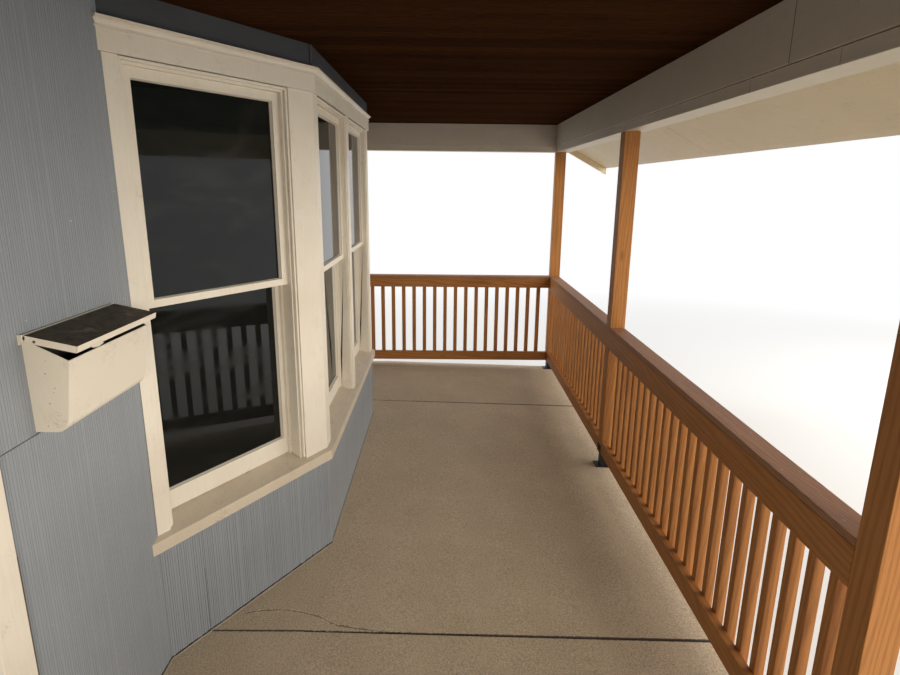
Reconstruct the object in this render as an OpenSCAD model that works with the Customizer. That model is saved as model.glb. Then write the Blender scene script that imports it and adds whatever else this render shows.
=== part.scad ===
// Covered front porch along a house wall with a canted bay window.
// +X runs along the porch, +Y points to the house, +Z is up.
// The origin is on the ground, under the middle of the foundation.

/* [Porch plan] */
// Clear walk from the wall face to the inner faces of the posts
walk_w = 2136; // [1700:1:2400]
// Far bay, centre to centre of its posts
span_far = 2300; // [1900:1:2600]
// Middle bay, centre to centre of its posts
span_mid = 2507; // [2200:1:2700]
// Entry bay, centre to centre of its posts
span_entry = 2507; // [2350:1:2700]
// Thickness of the house wall behind its siding
wall_t = 153; // [140:1:200]

/* [Floor] */
// Height of the floor over the ground at the house
floor_h = 360; // [250:1:600]
// Thickness of the floor slab at the house
slab_t = 120; // [100:1:160]
// Drop of the floor from the bay window to the street edge
slab_fall = 46; // [0:1:60]
// Slab beyond the outer faces of the posts
slab_lip = 20; // [10:1:60]
// Thickness of the foundation walls
found_t = 200; // [150:1:250]
// Set back of the foundation walls behind the slab edge
found_set = 15; // [5:1:30]
// Width and depth of a tooled floor joint
tool_joint = 8; // [4:1:12]

/* [Posts and beams] */
// Width of a square cedar post
post_w = 95; // [85:1:110]
// Height of the foot of a post over the house side of the floor
post_foot = 57; // [40:1:90]
// Side of the box of a post base
base_w = 76; // [60:1:84]
// Thickness of the plates of a post base
base_plate = 6; // [4:1:8]
// Flange of a post base on the side of the walk
base_flange = 24; // [10:1:40]
// Height of the straps of a post base on the post
strap_h = 55; // [30:1:80]
// Thickness of the straps of a post base
strap_t = 3; // [2:1:5]
// Height of the board that faces a beam
facing_h = 199; // [150:1:230]
// Thickness of the board that faces a beam
facing_t = 12; // [9:1:20]
// Strip of the beam that shows below its facing board
beam_reveal = 50; // [20:1:70]
// Width of the underside of a beam
beam_w = 127; // [110:1:150]
// Height of a beam
beam_h = 210; // [190:1:240]

/* [Roof] */
// Slope of the roof in degrees
roof_slope = 28; // [22:0.5:30]
// Height of the soffit over the underside of the front beam, at the beam
roof_lift = 70; // [0:1:120]
// Overhang of the eave beyond the front beam
eave_out = 360; // [200:1:450]
// Depth of the rafters, square to the slope
rafter_d = 235; // [184:1:286]
// Thickness of a rafter
rafter_t = 38; // [38:1:50]
// Number of rafters
rafter_n = 13; // [9:1:17]
// Thickness of the soffit boards
soffit_t = 12; // [9:1:18]
// Thickness of the roof deck
deck_t = 18; // [12:1:25]
// Thickness of the shingle layer
shingle_t = 14; // [8:1:20]
// Thickness of the ceiling boards
ceiling_t = 16; // [9:1:20]
// Thickness of the rake boards and the fascia
rake_t = 38; // [19:1:50]
// Part of a rake board below the soffit
rake_drop = 52; // [20:1:120]
// Thickness of the panels that close the ends of the roof
gable_t = 60; // [40:1:120]
// House wall above the flashing
wall_over = 60; // [40:1:400]
// Height of the flashing on the wall
flash_h = 110; // [60:1:120]
// Thickness of the flashing
flash_t = 3; // [2:1:4]

/* [Rails] */
// Height of the top of a rail over the floor, without its cap
rail_h = 914; // [860:1:1070]
// Height of the top rail board on the street side
rail_d = 120; // [89:1:140]
// Height of the top rail board at the ends
rail_end_d = 92; // [80:1:120]
// Height of the bottom rail board
rail_low_d = 89; // [80:1:110]
// Height of the lower edge of the bottom rail over the floor
rail_low_z = 55; // [20:1:100]
// Thickness of a rail board
rail_t = 38; // [32:1:45]
// Thickness of a rail cap
cap_t = 25; // [19:1:38]
// Width of a rail cap
cap_w = 95; // [80:1:130]
// Side of a square baluster
bal_w = 36; // [30:1:40]
// Largest pitch of the balusters
bal_pitch = 107; // [90:1:130]

/* [Bay window] */
// Distance from the middle of the porch to the middle of the bay
bay_x = 1257; // [1100:1:1400]
// Length of the front of the bay
bay_front = 1876; // [1700:1:2000]
// Projection of the bay from the wall
bay_depth = 480; // [380:1:520]
// Angle between the wall and a side of the bay
bay_angle = 31; // [28:1:34]
// Thickness of the walls of the bay
bay_t = 135; // [126:1:145]
// Height of the front edge of the sill over the floor
sill_h = 533; // [450:1:600]
// Height of the front edge of the sill itself
sill_edge = 48; // [30:1:60]
// Projection of the sill
sill_out = 24; // [15:1:40]
// Slope of the top of the sill in degrees
sill_slope = 19; // [10:1:22]
// Head of the window openings over the floor
head_h = 2209; // [2000:1:2300]
// Height of the flat head board
head_board = 66; // [50:1:90]
// Height of the crown moulding on the head board
crown_h = 38; // [30:1:50]
// Band between the crown moulding and the ceiling
band_h = 87; // [60:1:140]
// Thickness of the head board
head_t = 12; // [9:1:18]
// Projection of the crown moulding
crown_out = 30; // [24:1:45]
// Reach of the crown moulding past the corner of the bay and the wall
crown_end = 18; // [10:1:30]
// Corner board on a side of the bay
corner_side = 148; // [120:1:180]
// Corner board on the front of the bay
corner_front = 93; // [80:1:120]
// Board between the front windows
mullion_w = 84; // [70:1:120]
// Board where a side meets the wall
wall_board = 56; // [40:1:80]

/* [Windows] */
// Recess of a window frame behind the face of the bay
win_set = 18; // [10:1:24]
// Face width of a window frame
win_frame = 22; // [18:1:30]
// Depth of the stop in front of the upper sash
stop_d = 18; // [12:1:22]
// Depth of the stop behind the lower sash
inner_stop = 5; // [3:1:8]
// Side of the bead that parts the sashes
bead_w = 13; // [10:1:14]
// Face width of a sash
sash_w = 35; // [35:1:55]
// Thickness of a sash
sash_t = 35; // [30:1:36]
// Height of the bottom rail of the lower sash
sash_foot = 80; // [70:1:110]
// Height of the meeting rails
meet_h = 28; // [25:1:40]
// Thickness of a pane
pane_t = 5; // [4:1:6]

/* [Wall and doorway] */
// Thickness of the siding
siding_t = 12; // [9:1:16]
// Height of the lap joint of the siding over the floor
lap_h = 1178; // [1000:1:1250]
// Overlap of the upper siding over the lower one
lap_over = 4; // [3:1:6]
// Middle of the doorway, from the middle of the porch
door_x = -1726; // [-1780:1:-1650]
// Width of the doorway between its jambs
door_w = 914; // [810:1:930]
// Height of the doorway
door_h = 2045; // [2000:1:2080]
// Thickness of a door jamb
jamb_t = 20; // [18:1:30]
// Width of the door casing
casing_w = 89; // [70:1:100]
// Thickness of the door casing
casing_t = 20; // [18:1:28]
// Thickness of the door stops
door_stop = 12; // [10:1:16]
// Depth of the rebate for a door
door_rebate = 45; // [35:1:50]
// Height of the threshold
threshold_h = 32; // [20:1:40]

/* [Mailbox] */
// Distance from the middle of the porch to the middle of the mailbox
mail_x = -818; // [-860:1:-800]
// Length of the mailbox
mail_l = 424; // [380:1:430]
// Height of the hinge over the floor
mail_z = 1445; // [1400:1:1500]
// Depth of the body at its top
mail_d = 112; // [100:1:120]
// Depth of the body at its foot
mail_foot = 84; // [70:1:95]
// Height of the body at the wall
mail_h = 250; // [220:1:280]
// Drop of the top edge of the sides, from the wall to the front
mail_drop = 58; // [50:1:65]
// Radius of the bottom front corner
mail_r = 26; // [15:1:30]
// Thickness of the sheet
mail_t = 2; // [1.5:0.5:3]
// Projection of the lid from the wall
lid_d = 137; // [135:1:150]
// Depth of the lips of the lid
lid_lip = 18; // [14:1:22]
// Slope of the lid as it stands, in degrees
lid_slope = 12; // [5:0.1:15]
// Gap between the moving lid and the body
lid_gap = 5; // [5:0.5:6]
// Distance of the hinge rod from the wall
rod_out = 7; // [7:0.5:9]
// Radius of the hinge rod
rod_r = 2; // [1.5:0.5:3]
// Gap between the hinge rod and the roll of the lid
rod_gap = 0.4; // [0.3:0.1:0.5]

/* [Hidden] */
$fn = 48;

eps = 1;
big = 6000;
seat = 0.3;

// Plan of the slab and the wall
slab_l = span_far + span_mid + span_entry + post_w + 2 * slab_lip;
slab_w = walk_w + post_w + slab_lip + siding_t + wall_t;
y_back = slab_w / 2;
y_stud = y_back - wall_t;
y_wall = y_stud - siding_t;
y_post = y_wall - walk_w;
y_post_out = y_post - post_w;
y_street = -slab_w / 2;
x_far = slab_l / 2;
x_near = -slab_l / 2;
px_far = x_far - slab_lip - post_w / 2;
px_mid = px_far - span_far;
px_near = px_mid - span_mid;
px_entry = px_near - span_entry;

// Heights over the ground
function up(h) = floor_h + h;
z_slab = floor_h - slab_t;
ceil_h = head_h + head_board + crown_h + band_h;
z_ceil = up(ceil_h);
z_beam = up(ceil_h - facing_h - beam_reveal);
z_beam_top = z_beam + beam_h;
y_bay = y_wall - bay_depth;
fall_run = y_bay - y_street;
function floor_z(y) = floor_h - slab_fall * max(0, min(1, (y_bay - y) / fall_run));

// Beams
facing_joint = 0.273;
y_core = y_post - 2;
y_facing = y_core + facing_t;
y_core_out = y_core - beam_w;
x_core_far = px_far - post_w / 2 + 2;
x_facing_far = x_core_far - facing_t;
x_core_near = px_entry + post_w / 2 - 2;
x_facing_near = x_core_near + facing_t;
x_roof_far = x_core_far + beam_w;
x_roof_near = x_core_near - beam_w;

// Roof lines, given as heights over the ground at a distance y
z_roof = z_beam + roof_lift;
k_roof = tan(roof_slope);
function slope_z(y, up_by) = z_roof + (y - y_core_out) * k_roof + up_by / cos(roof_slope);
rafter_lo = soffit_t;
rafter_hi = soffit_t + rafter_d;
deck_hi = rafter_hi + deck_t;
roof_hi = deck_hi + shingle_t;
z_wall_top = slope_z(y_wall, roof_hi) + flash_h + wall_over;
y_tail = y_core_out - eave_out;
y_ledger = y_wall - rafter_t;
y_eave = y_tail - rake_t;

// Rails
y_end_rail = y_wall - seat;

// Bay window plan
bay_run = bay_depth / tan(bay_angle);
bx1 = bay_x - bay_front / 2;
bx2 = bay_x + bay_front / 2;
bx0 = bx1 - bay_run;
bx3 = bx2 + bay_run;
side_l = bay_depth / sin(bay_angle);
jamb_stud = (siding_t + wall_board * sin(bay_angle)) / cos(bay_angle);
jamb_in = wall_board * cos(bay_angle) + bay_t * sin(bay_angle);
y_jamb = y_wall - wall_board * sin(bay_angle) + bay_t * cos(bay_angle);
jamb_out = wall_board * cos(bay_angle) + jamb_stud * sin(bay_angle);
z_sill_under = up(sill_h - sill_edge);
d_upper = win_set + stop_d;
d_lower = d_upper + sash_t + bead_w;
d_back = d_lower + sash_t + inner_stop;
function sill_z(d) = up(sill_h) + (sill_out + min(d, d_lower)) * tan(sill_slope);
z_sash = sill_z(d_lower);
z_head = up(head_h);
z_meet = (z_sash + sash_foot + z_head - win_frame - sash_w) / 2;
front_win_w = (bay_front - 2 * corner_front - mullion_w) / 2;
side_win_w = side_l - corner_side - wall_board;

// Doorway
dx0 = door_x - door_w / 2 - jamb_t;
dx1 = door_x + door_w / 2 + jamb_t;
z_door = up(door_h + jamb_t);

// Mailbox
rod_over = 6;
ear_t = 4;
ear_up = 5;
ear_down = 12;
leaf_h = 8;
y_mail = y_wall - lap_over - seat;
hinge_y = y_mail - rod_out;
hinge_z = up(mail_z);
roll_in = rod_r + rod_gap;
roll_out = roll_in + mail_t;
body_l = mail_l - 2 * (mail_t + lid_gap);

// Plan points of the bay, moved outward by o and stopped at y
function bay_outline(o, y) = let (
    s = o * tan(bay_angle / 2),
    e = o / sin(bay_angle) - (y_wall - y) / tan(bay_angle)
) [[bx0 - e, y], [bx1 - s, y_bay - o], [bx2 + s, y_bay - o], [bx3 + e, y]];

function reversed(pts) = [for (i = [len(pts) - 1 : -1 : 0]) pts[i]];

// Inner outline of the walls of the bay, with the joints at the house wall
function bay_inner() = let (p = bay_outline(-bay_t, y_wall)) [
    [bx0, y_stud], [bx0 + jamb_out, y_stud], [bx0 + jamb_in, y_jamb], p[1],
    p[2], [bx3 - jamb_in, y_jamb], [bx3 - jamb_out, y_stud], [bx3, y_stud]
];

// Plan of the walls of the bay
module bay_ring() {
    polygon(concat(bay_outline(0, y_wall), reversed(bay_inner())));
}

// Plan of a strip that follows the face of the bay between two offsets
module bay_strip(o_in, o_out, y) {
    polygon(concat(bay_outline(o_out, y), reversed(bay_outline(o_in, y))));
}

// Local frames of the three sides: x along the face, y into the wall
module on_side(i) {
    if (i == 0) {
        translate([bx0, y_wall, 0]) rotate([0, 0, -bay_angle]) children();
    } else if (i == 1) {
        translate([bx1, y_bay, 0]) children();
    } else {
        translate([bx2, y_bay, 0]) rotate([0, 0, bay_angle]) children();
    }
}

// A moulding round the bay with mitred corners; pts are (outward, height)
module bay_moulding(pts, z0, z1) {
    intersection() {
        translate([0, 0, z0]) linear_extrude(z1 - z0) children();
        side_run(0, pts);
        side_run(1, pts);
        side_run(2, pts);
    }
}

module side_run(i, pts) {
    on_side(i)
        translate([-big, 0, 0])
            rotate([90, 0, 90])
                linear_extrude(2 * big)
                    polygon([for (p = pts) [-p[0], p[1]]]);
}

// Box given by its low and high corners
module block(lo, hi) {
    translate(lo) cube(hi - lo);
}

// Outline in the Y-Z plane, run along X
module along_x(x0, x1) {
    translate([x0, 0, 0]) rotate([90, 0, 90]) linear_extrude(x1 - x0) children();
}

// Foundation walls round the edge, with one cross wall under the middle
module foundation() {
    lo = [x_near + found_set, y_street + found_set];
    hi = [x_far - found_set, y_back - found_set];
    mid = found_t / 2;
    z1 = z_slab - slab_fall;
    color("darkgray")
        difference() {
            block([lo[0], lo[1], 0], [hi[0], hi[1], z1]);
            block([lo[0] + found_t, lo[1] + found_t, -eps], [-mid, hi[1] - found_t, z_slab]);
            block([mid, lo[1] + found_t, -eps], [hi[0] - found_t, hi[1] - found_t, z_slab]);
        }
}

// The slab falls to the street, with tooled joints across it
module floor_slab() {
    zb = z_slab - slab_fall;
    color("tan")
        difference() {
            along_x(x_near, x_far)
                polygon([
                    [y_street, zb], [y_back, zb], [y_back, floor_h],
                    [y_bay, floor_h], [y_street, floor_h - slab_fall]
                ]);
            for (x = [px_near + span_mid * 0.33, px_mid + span_far * 0.5, px_entry + span_entry * 0.5])
                translate([x - tool_joint / 2, y_street - eps, 0])
                    joint_cut();
        }
}

// A joint follows the fall of the floor and stops at the wall
module joint_cut() {
    run = y_bay - y_street + eps;
    along_x(0, tool_joint)
        polygon([
            [0, floor_h - slab_fall - tool_joint], [run, floor_h - tool_joint],
            [run, floor_h + eps], [0, floor_h - slab_fall + eps]
        ]);
}

module stud_wall(x0, x1, z0, z1) {
    block([x0, y_stud, z0], [x1, y_back, z1]);
}

module wall_entry_end() {
    color("lightgray") stud_wall(x_near, dx0, floor_h, z_ceil);
}

// Plan of a wall whose end is cut square to the side of the bay that it meets
module wall_to_bay(x_end, x_bay, dir) {
    polygon([
        [x_end, y_stud], [x_bay + dir * jamb_out, y_stud], [x_bay + dir * jamb_in, y_jamb],
        [x_bay + dir * jamb_in, y_back], [x_end, y_back]
    ]);
}

module wall_mailbox_side() {
    color("lightgray") translate([0, 0, floor_h]) linear_extrude(ceil_h) wall_to_bay(dx1, bx0, 1);
}

module wall_far_end() {
    color("lightgray") translate([0, 0, floor_h]) linear_extrude(ceil_h) wall_to_bay(x_far, bx3, -1);
}

module wall_over_door() {
    color("lightgray") stud_wall(dx0, dx1, z_door, z_ceil);
}

module wall_upper() {
    color("lightgray") stud_wall(x_near, x_far, z_ceil, z_wall_top);
}

// Siding below the lap joint, beside the door casing and the bay
module siding_lower() {
    color("slategray") {
        block([x_near, y_wall, floor_h], [dx0 - casing_w + jamb_t, y_stud, up(lap_h)]);
        block([dx1 + casing_w - jamb_t, y_wall, floor_h], [bx0, y_stud, up(lap_h)]);
        block([bx3, y_wall, floor_h], [x_far, y_stud, up(lap_h)]);
    }
}

// Siding above the lap joint, up to the ceiling and again over the roof
module siding_upper() {
    z_over = z_door + casing_w - jamb_t;
    y_face = y_wall - lap_over;
    z_top = z_ceil - seat;
    x_l = dx0 - casing_w + jamb_t;
    x_r = dx1 + casing_w - jamb_t;
    z_high = slope_z(y_wall, roof_hi) + eps;
    color("slategray") {
        block([x_near, y_face, up(lap_h)], [x_l, y_stud, z_top]);
        block([x_l, y_face, z_over], [x_r, y_stud, z_top]);
        block([x_r, y_face, up(lap_h)], [bx0, y_stud, z_top]);
        block([bx3, y_face, up(lap_h)], [x_far, y_stud, z_top]);
        block([x_near, y_wall, z_high], [x_far, y_stud, z_wall_top]);
    }
}

// Jambs with stops, head, threshold and the flat casing round the doorway
module door_frame() {
    y0 = y_wall - casing_t;
    y1 = y_back - door_rebate;
    z0 = up(threshold_h);
    z1 = z_door - jamb_t;
    reveal = casing_w - jamb_t;
    color("linen") {
        block([dx0, y0, z0], [dx0 + jamb_t, y_back, z1]);
        block([dx1 - jamb_t, y0, z0], [dx1, y_back, z1]);
        block([dx0, y0, z1], [dx1, y_back, z_door]);
        block([dx0, y0, floor_h], [dx1, y_back, z0]);
        block([dx0 + jamb_t, y0, z0], [dx0 + jamb_t + door_stop, y1, z1]);
        block([dx1 - jamb_t - door_stop, y0, z0], [dx1 - jamb_t, y1, z1]);
        block([dx0 + jamb_t, y0, z1 - door_stop], [dx1 - jamb_t, y1, z1]);
        block([dx0 - reveal, y0, floor_h], [dx0, y_stud, z_door]);
        block([dx1, y0, floor_h], [dx1 + reveal, y_stud, z_door]);
        block([dx0 - reveal, y0, z_door], [dx1 + reveal, y_stud, z_door + reveal]);
    }
}

// Low wall of the bay under the sill
module bay_apron() {
    color("slategray")
        translate([0, 0, floor_h])
            linear_extrude(z_sill_under - floor_h)
                bay_ring();
}

// One mitred sill: plumb front edge, sloping top and a level seat for the sashes
module bay_sill() {
    color("linen")
        bay_moulding([
            [sill_out, z_sill_under], [sill_out, sill_z(-sill_out)],
            [-d_lower, z_sash], [-big, z_sash], [-big, z_sill_under]
        ], z_sill_under, z_sash) {
            bay_ring();
            bay_strip(-eps, sill_out + eps, y_wall - seat);
        }
}

// The space that the sill takes up under the columns
module sill_cut() {
    far = 3 * sill_out;
    bay_moulding([
        [far, z_sill_under - eps], [far, sill_z(-far) + seat], [-d_lower, z_sash + seat],
        [-big, z_sash + seat], [-big, z_sill_under - eps]
    ], z_sill_under, z_sash + sill_out)
        translate([bay_x - big / 2, y_bay - big / 2]) square(big);
}

// Plan of a corner column between the boards on its two sides
module corner_plan(i) {
    edge = side_l - corner_side;
    intersection() {
        bay_ring();
        union() {
            on_side(i) translate([i == 0 ? edge : -eps, -eps]) square([corner_side + eps, 2 * bay_t]);
            on_side(1) translate([i == 0 ? -eps : bay_front - corner_front, -eps])
                square([corner_front + eps, 2 * bay_t]);
        }
    }
}

// Plan of the board where a side of the bay meets the house wall
module wall_board_plan() {
    polygon([
        [bx0 + seat, y_wall - seat * tan(bay_angle)], [bx0 + seat, y_stud], [bx0 + jamb_out, y_stud],
        [bx0 + wall_board * cos(bay_angle), y_wall - wall_board * sin(bay_angle)]
    ]);
}

// Corner columns, the board between the front windows and the boards at the wall
module bay_columns() {
    color("linen")
        difference() {
            translate([0, 0, up(sill_h)])
                linear_extrude(head_h - sill_h) {
                    corner_plan(0);
                    corner_plan(2);
                    on_side(1) translate([corner_front + front_win_w, 0]) square([mullion_w, bay_t]);
                    wall_board_plan();
                    translate([2 * bay_x, 0]) mirror([1, 0]) wall_board_plan();
                }
            sill_cut();
        }
}

// Band over the windows, up to the ceiling
module bay_header() {
    color("darkslategray")
        translate([0, 0, z_head])
            linear_extrude(ceil_h - head_h)
                bay_ring();
}

// Flat head board and a crown moulding with a cove, mitred round the bay
module bay_head_trim() {
    z1 = z_head + head_board;
    z2 = z1 + crown_h;
    r = crown_out - head_t;
    cove = [for (t = [0 : 15 : 90]) [crown_out - r * cos(t), z1 + crown_h / 4 + r * sin(t)]];
    color("linen")
        bay_moulding(concat(
            [[-big, z_head], [head_t, z_head], [head_t, z1], [head_t + 4, z1], [head_t + 4, z1 + 5], [head_t, z1 + 5]],
            cove,
            [[crown_out, z2 - 5], [0, z2], [-big, z2]]
        ), z_head, z2)
            intersection() {
                bay_strip(0, crown_out + eps, y_wall - lap_over - seat);
                crown_reach();
            }
}

// Plan between the square ends of the crown moulding
module crown_reach() {
    intersection() {
        on_side(0) translate([-crown_end, -big]) square(2 * big);
        on_side(2) translate([side_l + crown_end - 2 * big, -big]) square(2 * big);
    }
}

// Double hung window: jambs on the sill, head, beads, upper sash and lower sash
module window_unit(w) {
    z_in = z_head - win_frame;
    color("ivory") {
        for (x = [seat, w - seat - win_frame])
            along_x(x, x + win_frame)
                polygon([
                    [win_set, sill_z(win_set) + seat], [d_lower, z_sash + seat], [d_back, z_sash + seat],
                    [d_back, z_head], [win_set, z_head]
                ]);
        for (x = [win_frame, w - win_frame - bead_w])
            along_x(x, x + bead_w)
                polygon([
                    [d_upper + sash_t, sill_z(d_upper + sash_t) + seat], [d_lower, z_sash + seat],
                    [d_lower, z_in], [d_upper + sash_t, z_in]
                ]);
        block([seat, win_set, z_in], [w - seat, d_back, z_head]);
        sash(w, d_upper, z_meet - meet_h / 2, z_in, meet_h, sash_w);
        sash(w, d_lower, z_sash + seat, z_meet + meet_h / 2, sash_foot, meet_h);
        block([win_frame, d_upper + sash_t, z_meet - meet_h / 2], [w - win_frame, d_lower, z_meet + meet_h / 2]);
    }
}

module sash(w, d, z0, z1, foot, head) {
    difference() {
        block([win_frame, d, z0], [w - win_frame, d + sash_t, z1]);
        block([win_frame + sash_w, d - eps, z0 + foot], [w - win_frame - sash_w, d + sash_t + eps, z1 - head]);
    }
}

// The two panes of a window, set in the middle of their sashes
module window_panes(w) {
    x0 = win_frame + sash_w;
    x1 = w - x0;
    mid = (sash_t - pane_t) / 2;
    block([x0, d_upper + mid, z_meet + meet_h / 2], [x1, d_upper + mid + pane_t, z_head - win_frame - sash_w]);
    block([x0, d_lower + mid, z_sash + seat + sash_foot], [x1, d_lower + mid + pane_t, z_meet - meet_h / 2]);
}

module window_near_side() {
    on_side(0) translate([wall_board, 0, 0]) window_unit(side_win_w);
}

module window_front_near() {
    on_side(1) translate([corner_front, 0, 0]) window_unit(front_win_w);
}

module window_front_far() {
    on_side(1) translate([corner_front + front_win_w + mullion_w, 0, 0]) window_unit(front_win_w);
}

module window_far_side() {
    on_side(2) translate([corner_side, 0, 0]) window_unit(side_win_w);
}

module window_glass() {
    color("dimgray") {
        on_side(0) translate([wall_board, 0, 0]) window_panes(side_win_w);
        on_side(1) translate([corner_front, 0, 0]) window_panes(front_win_w);
        on_side(1) translate([corner_front + front_win_w + mullion_w, 0, 0]) window_panes(front_win_w);
        on_side(2) translate([corner_side, 0, 0]) window_panes(side_win_w);
    }
}

// Side outline of the mailbox body; the wall is at 0 and depth counts outward
module mailbox_outline(t) {
    z_top = up(mail_z - rod_over);
    z0 = z_top - mail_h;
    z_front = z_top - mail_drop;
    lean = (mail_d - mail_foot) / (z_front - z0);
    r = mail_r - t;
    x_foot = mail_foot - t + t * lean;
    difference() {
        polygon([
            [t, z0 + t], [x_foot, z0 + t], [mail_d - t, z_front], [t, z_top - t * mail_drop / mail_d]
        ]);
        translate([x_foot, z0 + t]) foot_corner(r);
    }
}

// What the round front corner of the foot takes away
module foot_corner(r) {
    difference() {
        translate([-r, -eps]) square([2 * r, r + eps]);
        translate([-r, r]) circle(r);
        translate([-2 * r, -2 * eps]) square([r, r + 3 * eps]);
    }
}

// Open-topped sheet metal box with ears that hold the hinge rod
module mailbox_body() {
    color("ivory") {
        translate([mail_x - body_l / 2, y_mail, 0])
            mirror([0, 1, 0])
                difference() {
                    along_x(0, body_l) mailbox_outline(0);
                    along_x(mail_t, body_l - mail_t) mailbox_hollow();
                }
        mailbox_hinge();
    }
}

// The hollow follows the outline and runs out through the open top
module mailbox_hollow() {
    z_front = up(mail_z - rod_over - mail_drop);
    mailbox_outline(mail_t);
    polygon([
        [mail_t, z_front - eps], [mail_d - mail_t, z_front - eps],
        [mail_d - mail_t, z_front + mail_h], [mail_t, z_front + mail_h]
    ]);
}

// Rod on the wall side of the body, with an ear at each end
module mailbox_hinge() {
    out = ear_t + 1;
    x0 = mail_x - mail_l / 2 - out;
    x1 = mail_x + mail_l / 2 + out;
    z_leaf = hinge_z - ear_down;
    translate([x0, hinge_y, hinge_z]) rotate([0, 90, 0]) cylinder(h = x1 - x0, r = rod_r);
    for (x = [x0, x1 - ear_t])
        block([x, hinge_y - ear_t, z_leaf], [x + ear_t, y_mail, hinge_z + ear_up]);
    block([x0, y_mail - mail_t, z_leaf - leaf_h], [x1, y_mail, z_leaf + eps]);
}

// Lid: a roll round the rod, the sloping sheet, and lips on three sides
module mailbox_lid() {
    color("ivory")
        translate([mail_x - mail_l / 2, hinge_y, hinge_z])
            rotate([lid_slope, 0, 0])
                mirror([0, 1, 0]) {
                    difference() {
                        rotate([0, 90, 0]) cylinder(h = mail_l, r = roll_out);
                        translate([-eps, 0, 0]) rotate([0, 90, 0]) cylinder(h = mail_l + 2 * eps, r = roll_in);
                    }
                    lid_sheet();
                }
}

module lid_sheet() {
    z1 = roll_out;
    z0 = roll_out - mail_t;
    block([0, 0, z0], [mail_l, lid_d, z1]);
    block([0, lid_d - mail_t, z1 - lid_lip], [mail_l, lid_d, z1]);
    block([0, 2 * roll_out, z1 - lid_lip], [mail_t, lid_d, z1]);
    block([mail_l - mail_t, 2 * roll_out, z1 - lid_lip], [mail_l, lid_d, z1]);
}

// A square post from its metal base to the underside of the beam
module post(x) {
    color("peru")
        block([x - post_w / 2, y_post_out, up(post_foot)], [x + post_w / 2, y_post, z_beam]);
}

module post_far() {
    post(px_far);
}

module post_middle() {
    post(px_mid);
}

module post_near() {
    post(px_near);
}

module post_entry() {
    post(px_entry);
}

// Standoff bases: a foot plate, a stem and a top plate under each post
module post_bases() {
    color("black")
        for (x = [px_far, px_mid, px_near, px_entry])
            translate([x, y_post - post_w / 2, 0]) post_base();
}

// One base: flanged foot plate, box, top plate and a strap on two faces of the post
module post_base() {
    half = post_w / 2;
    z_in = floor_z(y_post + base_flange);
    z_out = floor_z(y_post_out);
    z1 = up(post_foot);
    along_x(-half, half)
        polygon([
            [-half, z_out], [half + base_flange, z_in],
            [half + base_flange, z_in + base_plate], [-half, z_in + base_plate]
        ]);
    block([-base_w / 2, -base_w / 2, z_in + 1], [base_w / 2, base_w / 2, z1 - 1]);
    block([-half, -half - strap_t, z1 - base_plate], [half, half + strap_t, z1]);
    for (y = [-half - strap_t, half])
        block([-base_w / 2, y, z1 - 1], [base_w / 2, y + strap_t, z1 + strap_h]);
}

module front_beam() {
    color("tan") block([x_roof_near, y_core_out, z_beam], [x_roof_far, y_core, z_beam_top]);
}

// Beams across both ends, from the front beam to the wall
module end_beams() {
    color("tan") {
        block([x_core_far, y_core, z_beam], [x_roof_far, y_wall - lap_over - seat, z_beam_top]);
        block([x_roof_near, y_core, z_beam], [x_core_near, y_wall - lap_over - seat, z_beam_top]);
    }
}

// Boards on the inner faces of the beams, up to the ceiling
module beam_facings() {
    z0 = z_beam + beam_reveal;
    z1 = z_ceil;
    gap = 2;
    x_cut = [x_facing_near, px_near + span_mid * facing_joint, x_facing_far];
    color("tan") {
        block([x_cut[0], y_core, z0], [x_cut[1] - gap, y_facing, z1]);
        block([x_cut[1], y_core, z0], [x_cut[2], y_facing, z1]);
        block([x_facing_far, y_core, z0], [x_core_far, y_wall - lap_over - seat, z1]);
        block([x_core_near, y_core, z0], [x_facing_near, y_wall - lap_over - seat, z1]);
    }
}

module ceiling() {
    color("saddlebrown")
        block([x_core_near, y_core, z_ceil], [x_core_far, y_stud, z_ceil + ceiling_t]);
}

// Side outline of a rafter, notched over the beam and cut level over the ceiling
module rafter_outline() {
    difference() {
        polygon([
            [y_tail, slope_z(y_tail, rafter_lo)], [y_ledger, slope_z(y_ledger, rafter_lo)],
            [y_ledger, slope_z(y_ledger, rafter_hi)], [y_tail, slope_z(y_tail, rafter_hi)]
        ]);
        translate([y_core_out, 0]) square([beam_w + eps, z_beam_top]);
        translate([y_core, 0]) square([big, z_ceil + ceiling_t]);
    }
}

// Rafters at even pitch and the ledger on the wall
module roof_framing() {
    pitch = (x_roof_far - x_roof_near - rafter_t) / (rafter_n - 1);
    color("burlywood") {
        for (i = [0 : rafter_n - 1])
            translate([x_roof_near + i * pitch, 0, 0]) along_x(0, rafter_t) rafter_outline();
        along_x(x_roof_near, x_roof_far)
            polygon([
                [y_ledger, slope_z(y_ledger, rafter_lo)], [y_stud, slope_z(y_ledger, rafter_lo)],
                [y_stud, slope_z(y_wall, rafter_hi)], [y_wall, slope_z(y_wall, rafter_hi)],
                [y_ledger, slope_z(y_ledger, rafter_hi)]
            ]);
    }
}

// A layer of the roof between two levels over the soffit line
module roof_layer(x0, x1, ya, yb, lo, hi) {
    along_x(x0, x1)
        polygon([
            [ya, slope_z(ya, lo)], [yb, slope_z(yb, lo)],
            [yb, slope_z(yb, hi)], [ya, slope_z(ya, hi)]
        ]);
}

module soffit() {
    color("wheat") roof_layer(x_roof_near, x_roof_far, y_tail, y_core_out, 0, soffit_t);
}

// The deck lies a little clear of the rafters
module roof_deck() {
    color("burlywood")
        roof_layer(x_roof_near - rake_t, x_roof_far + rake_t, y_eave, y_wall, rafter_hi + seat, deck_hi);
}

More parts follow.
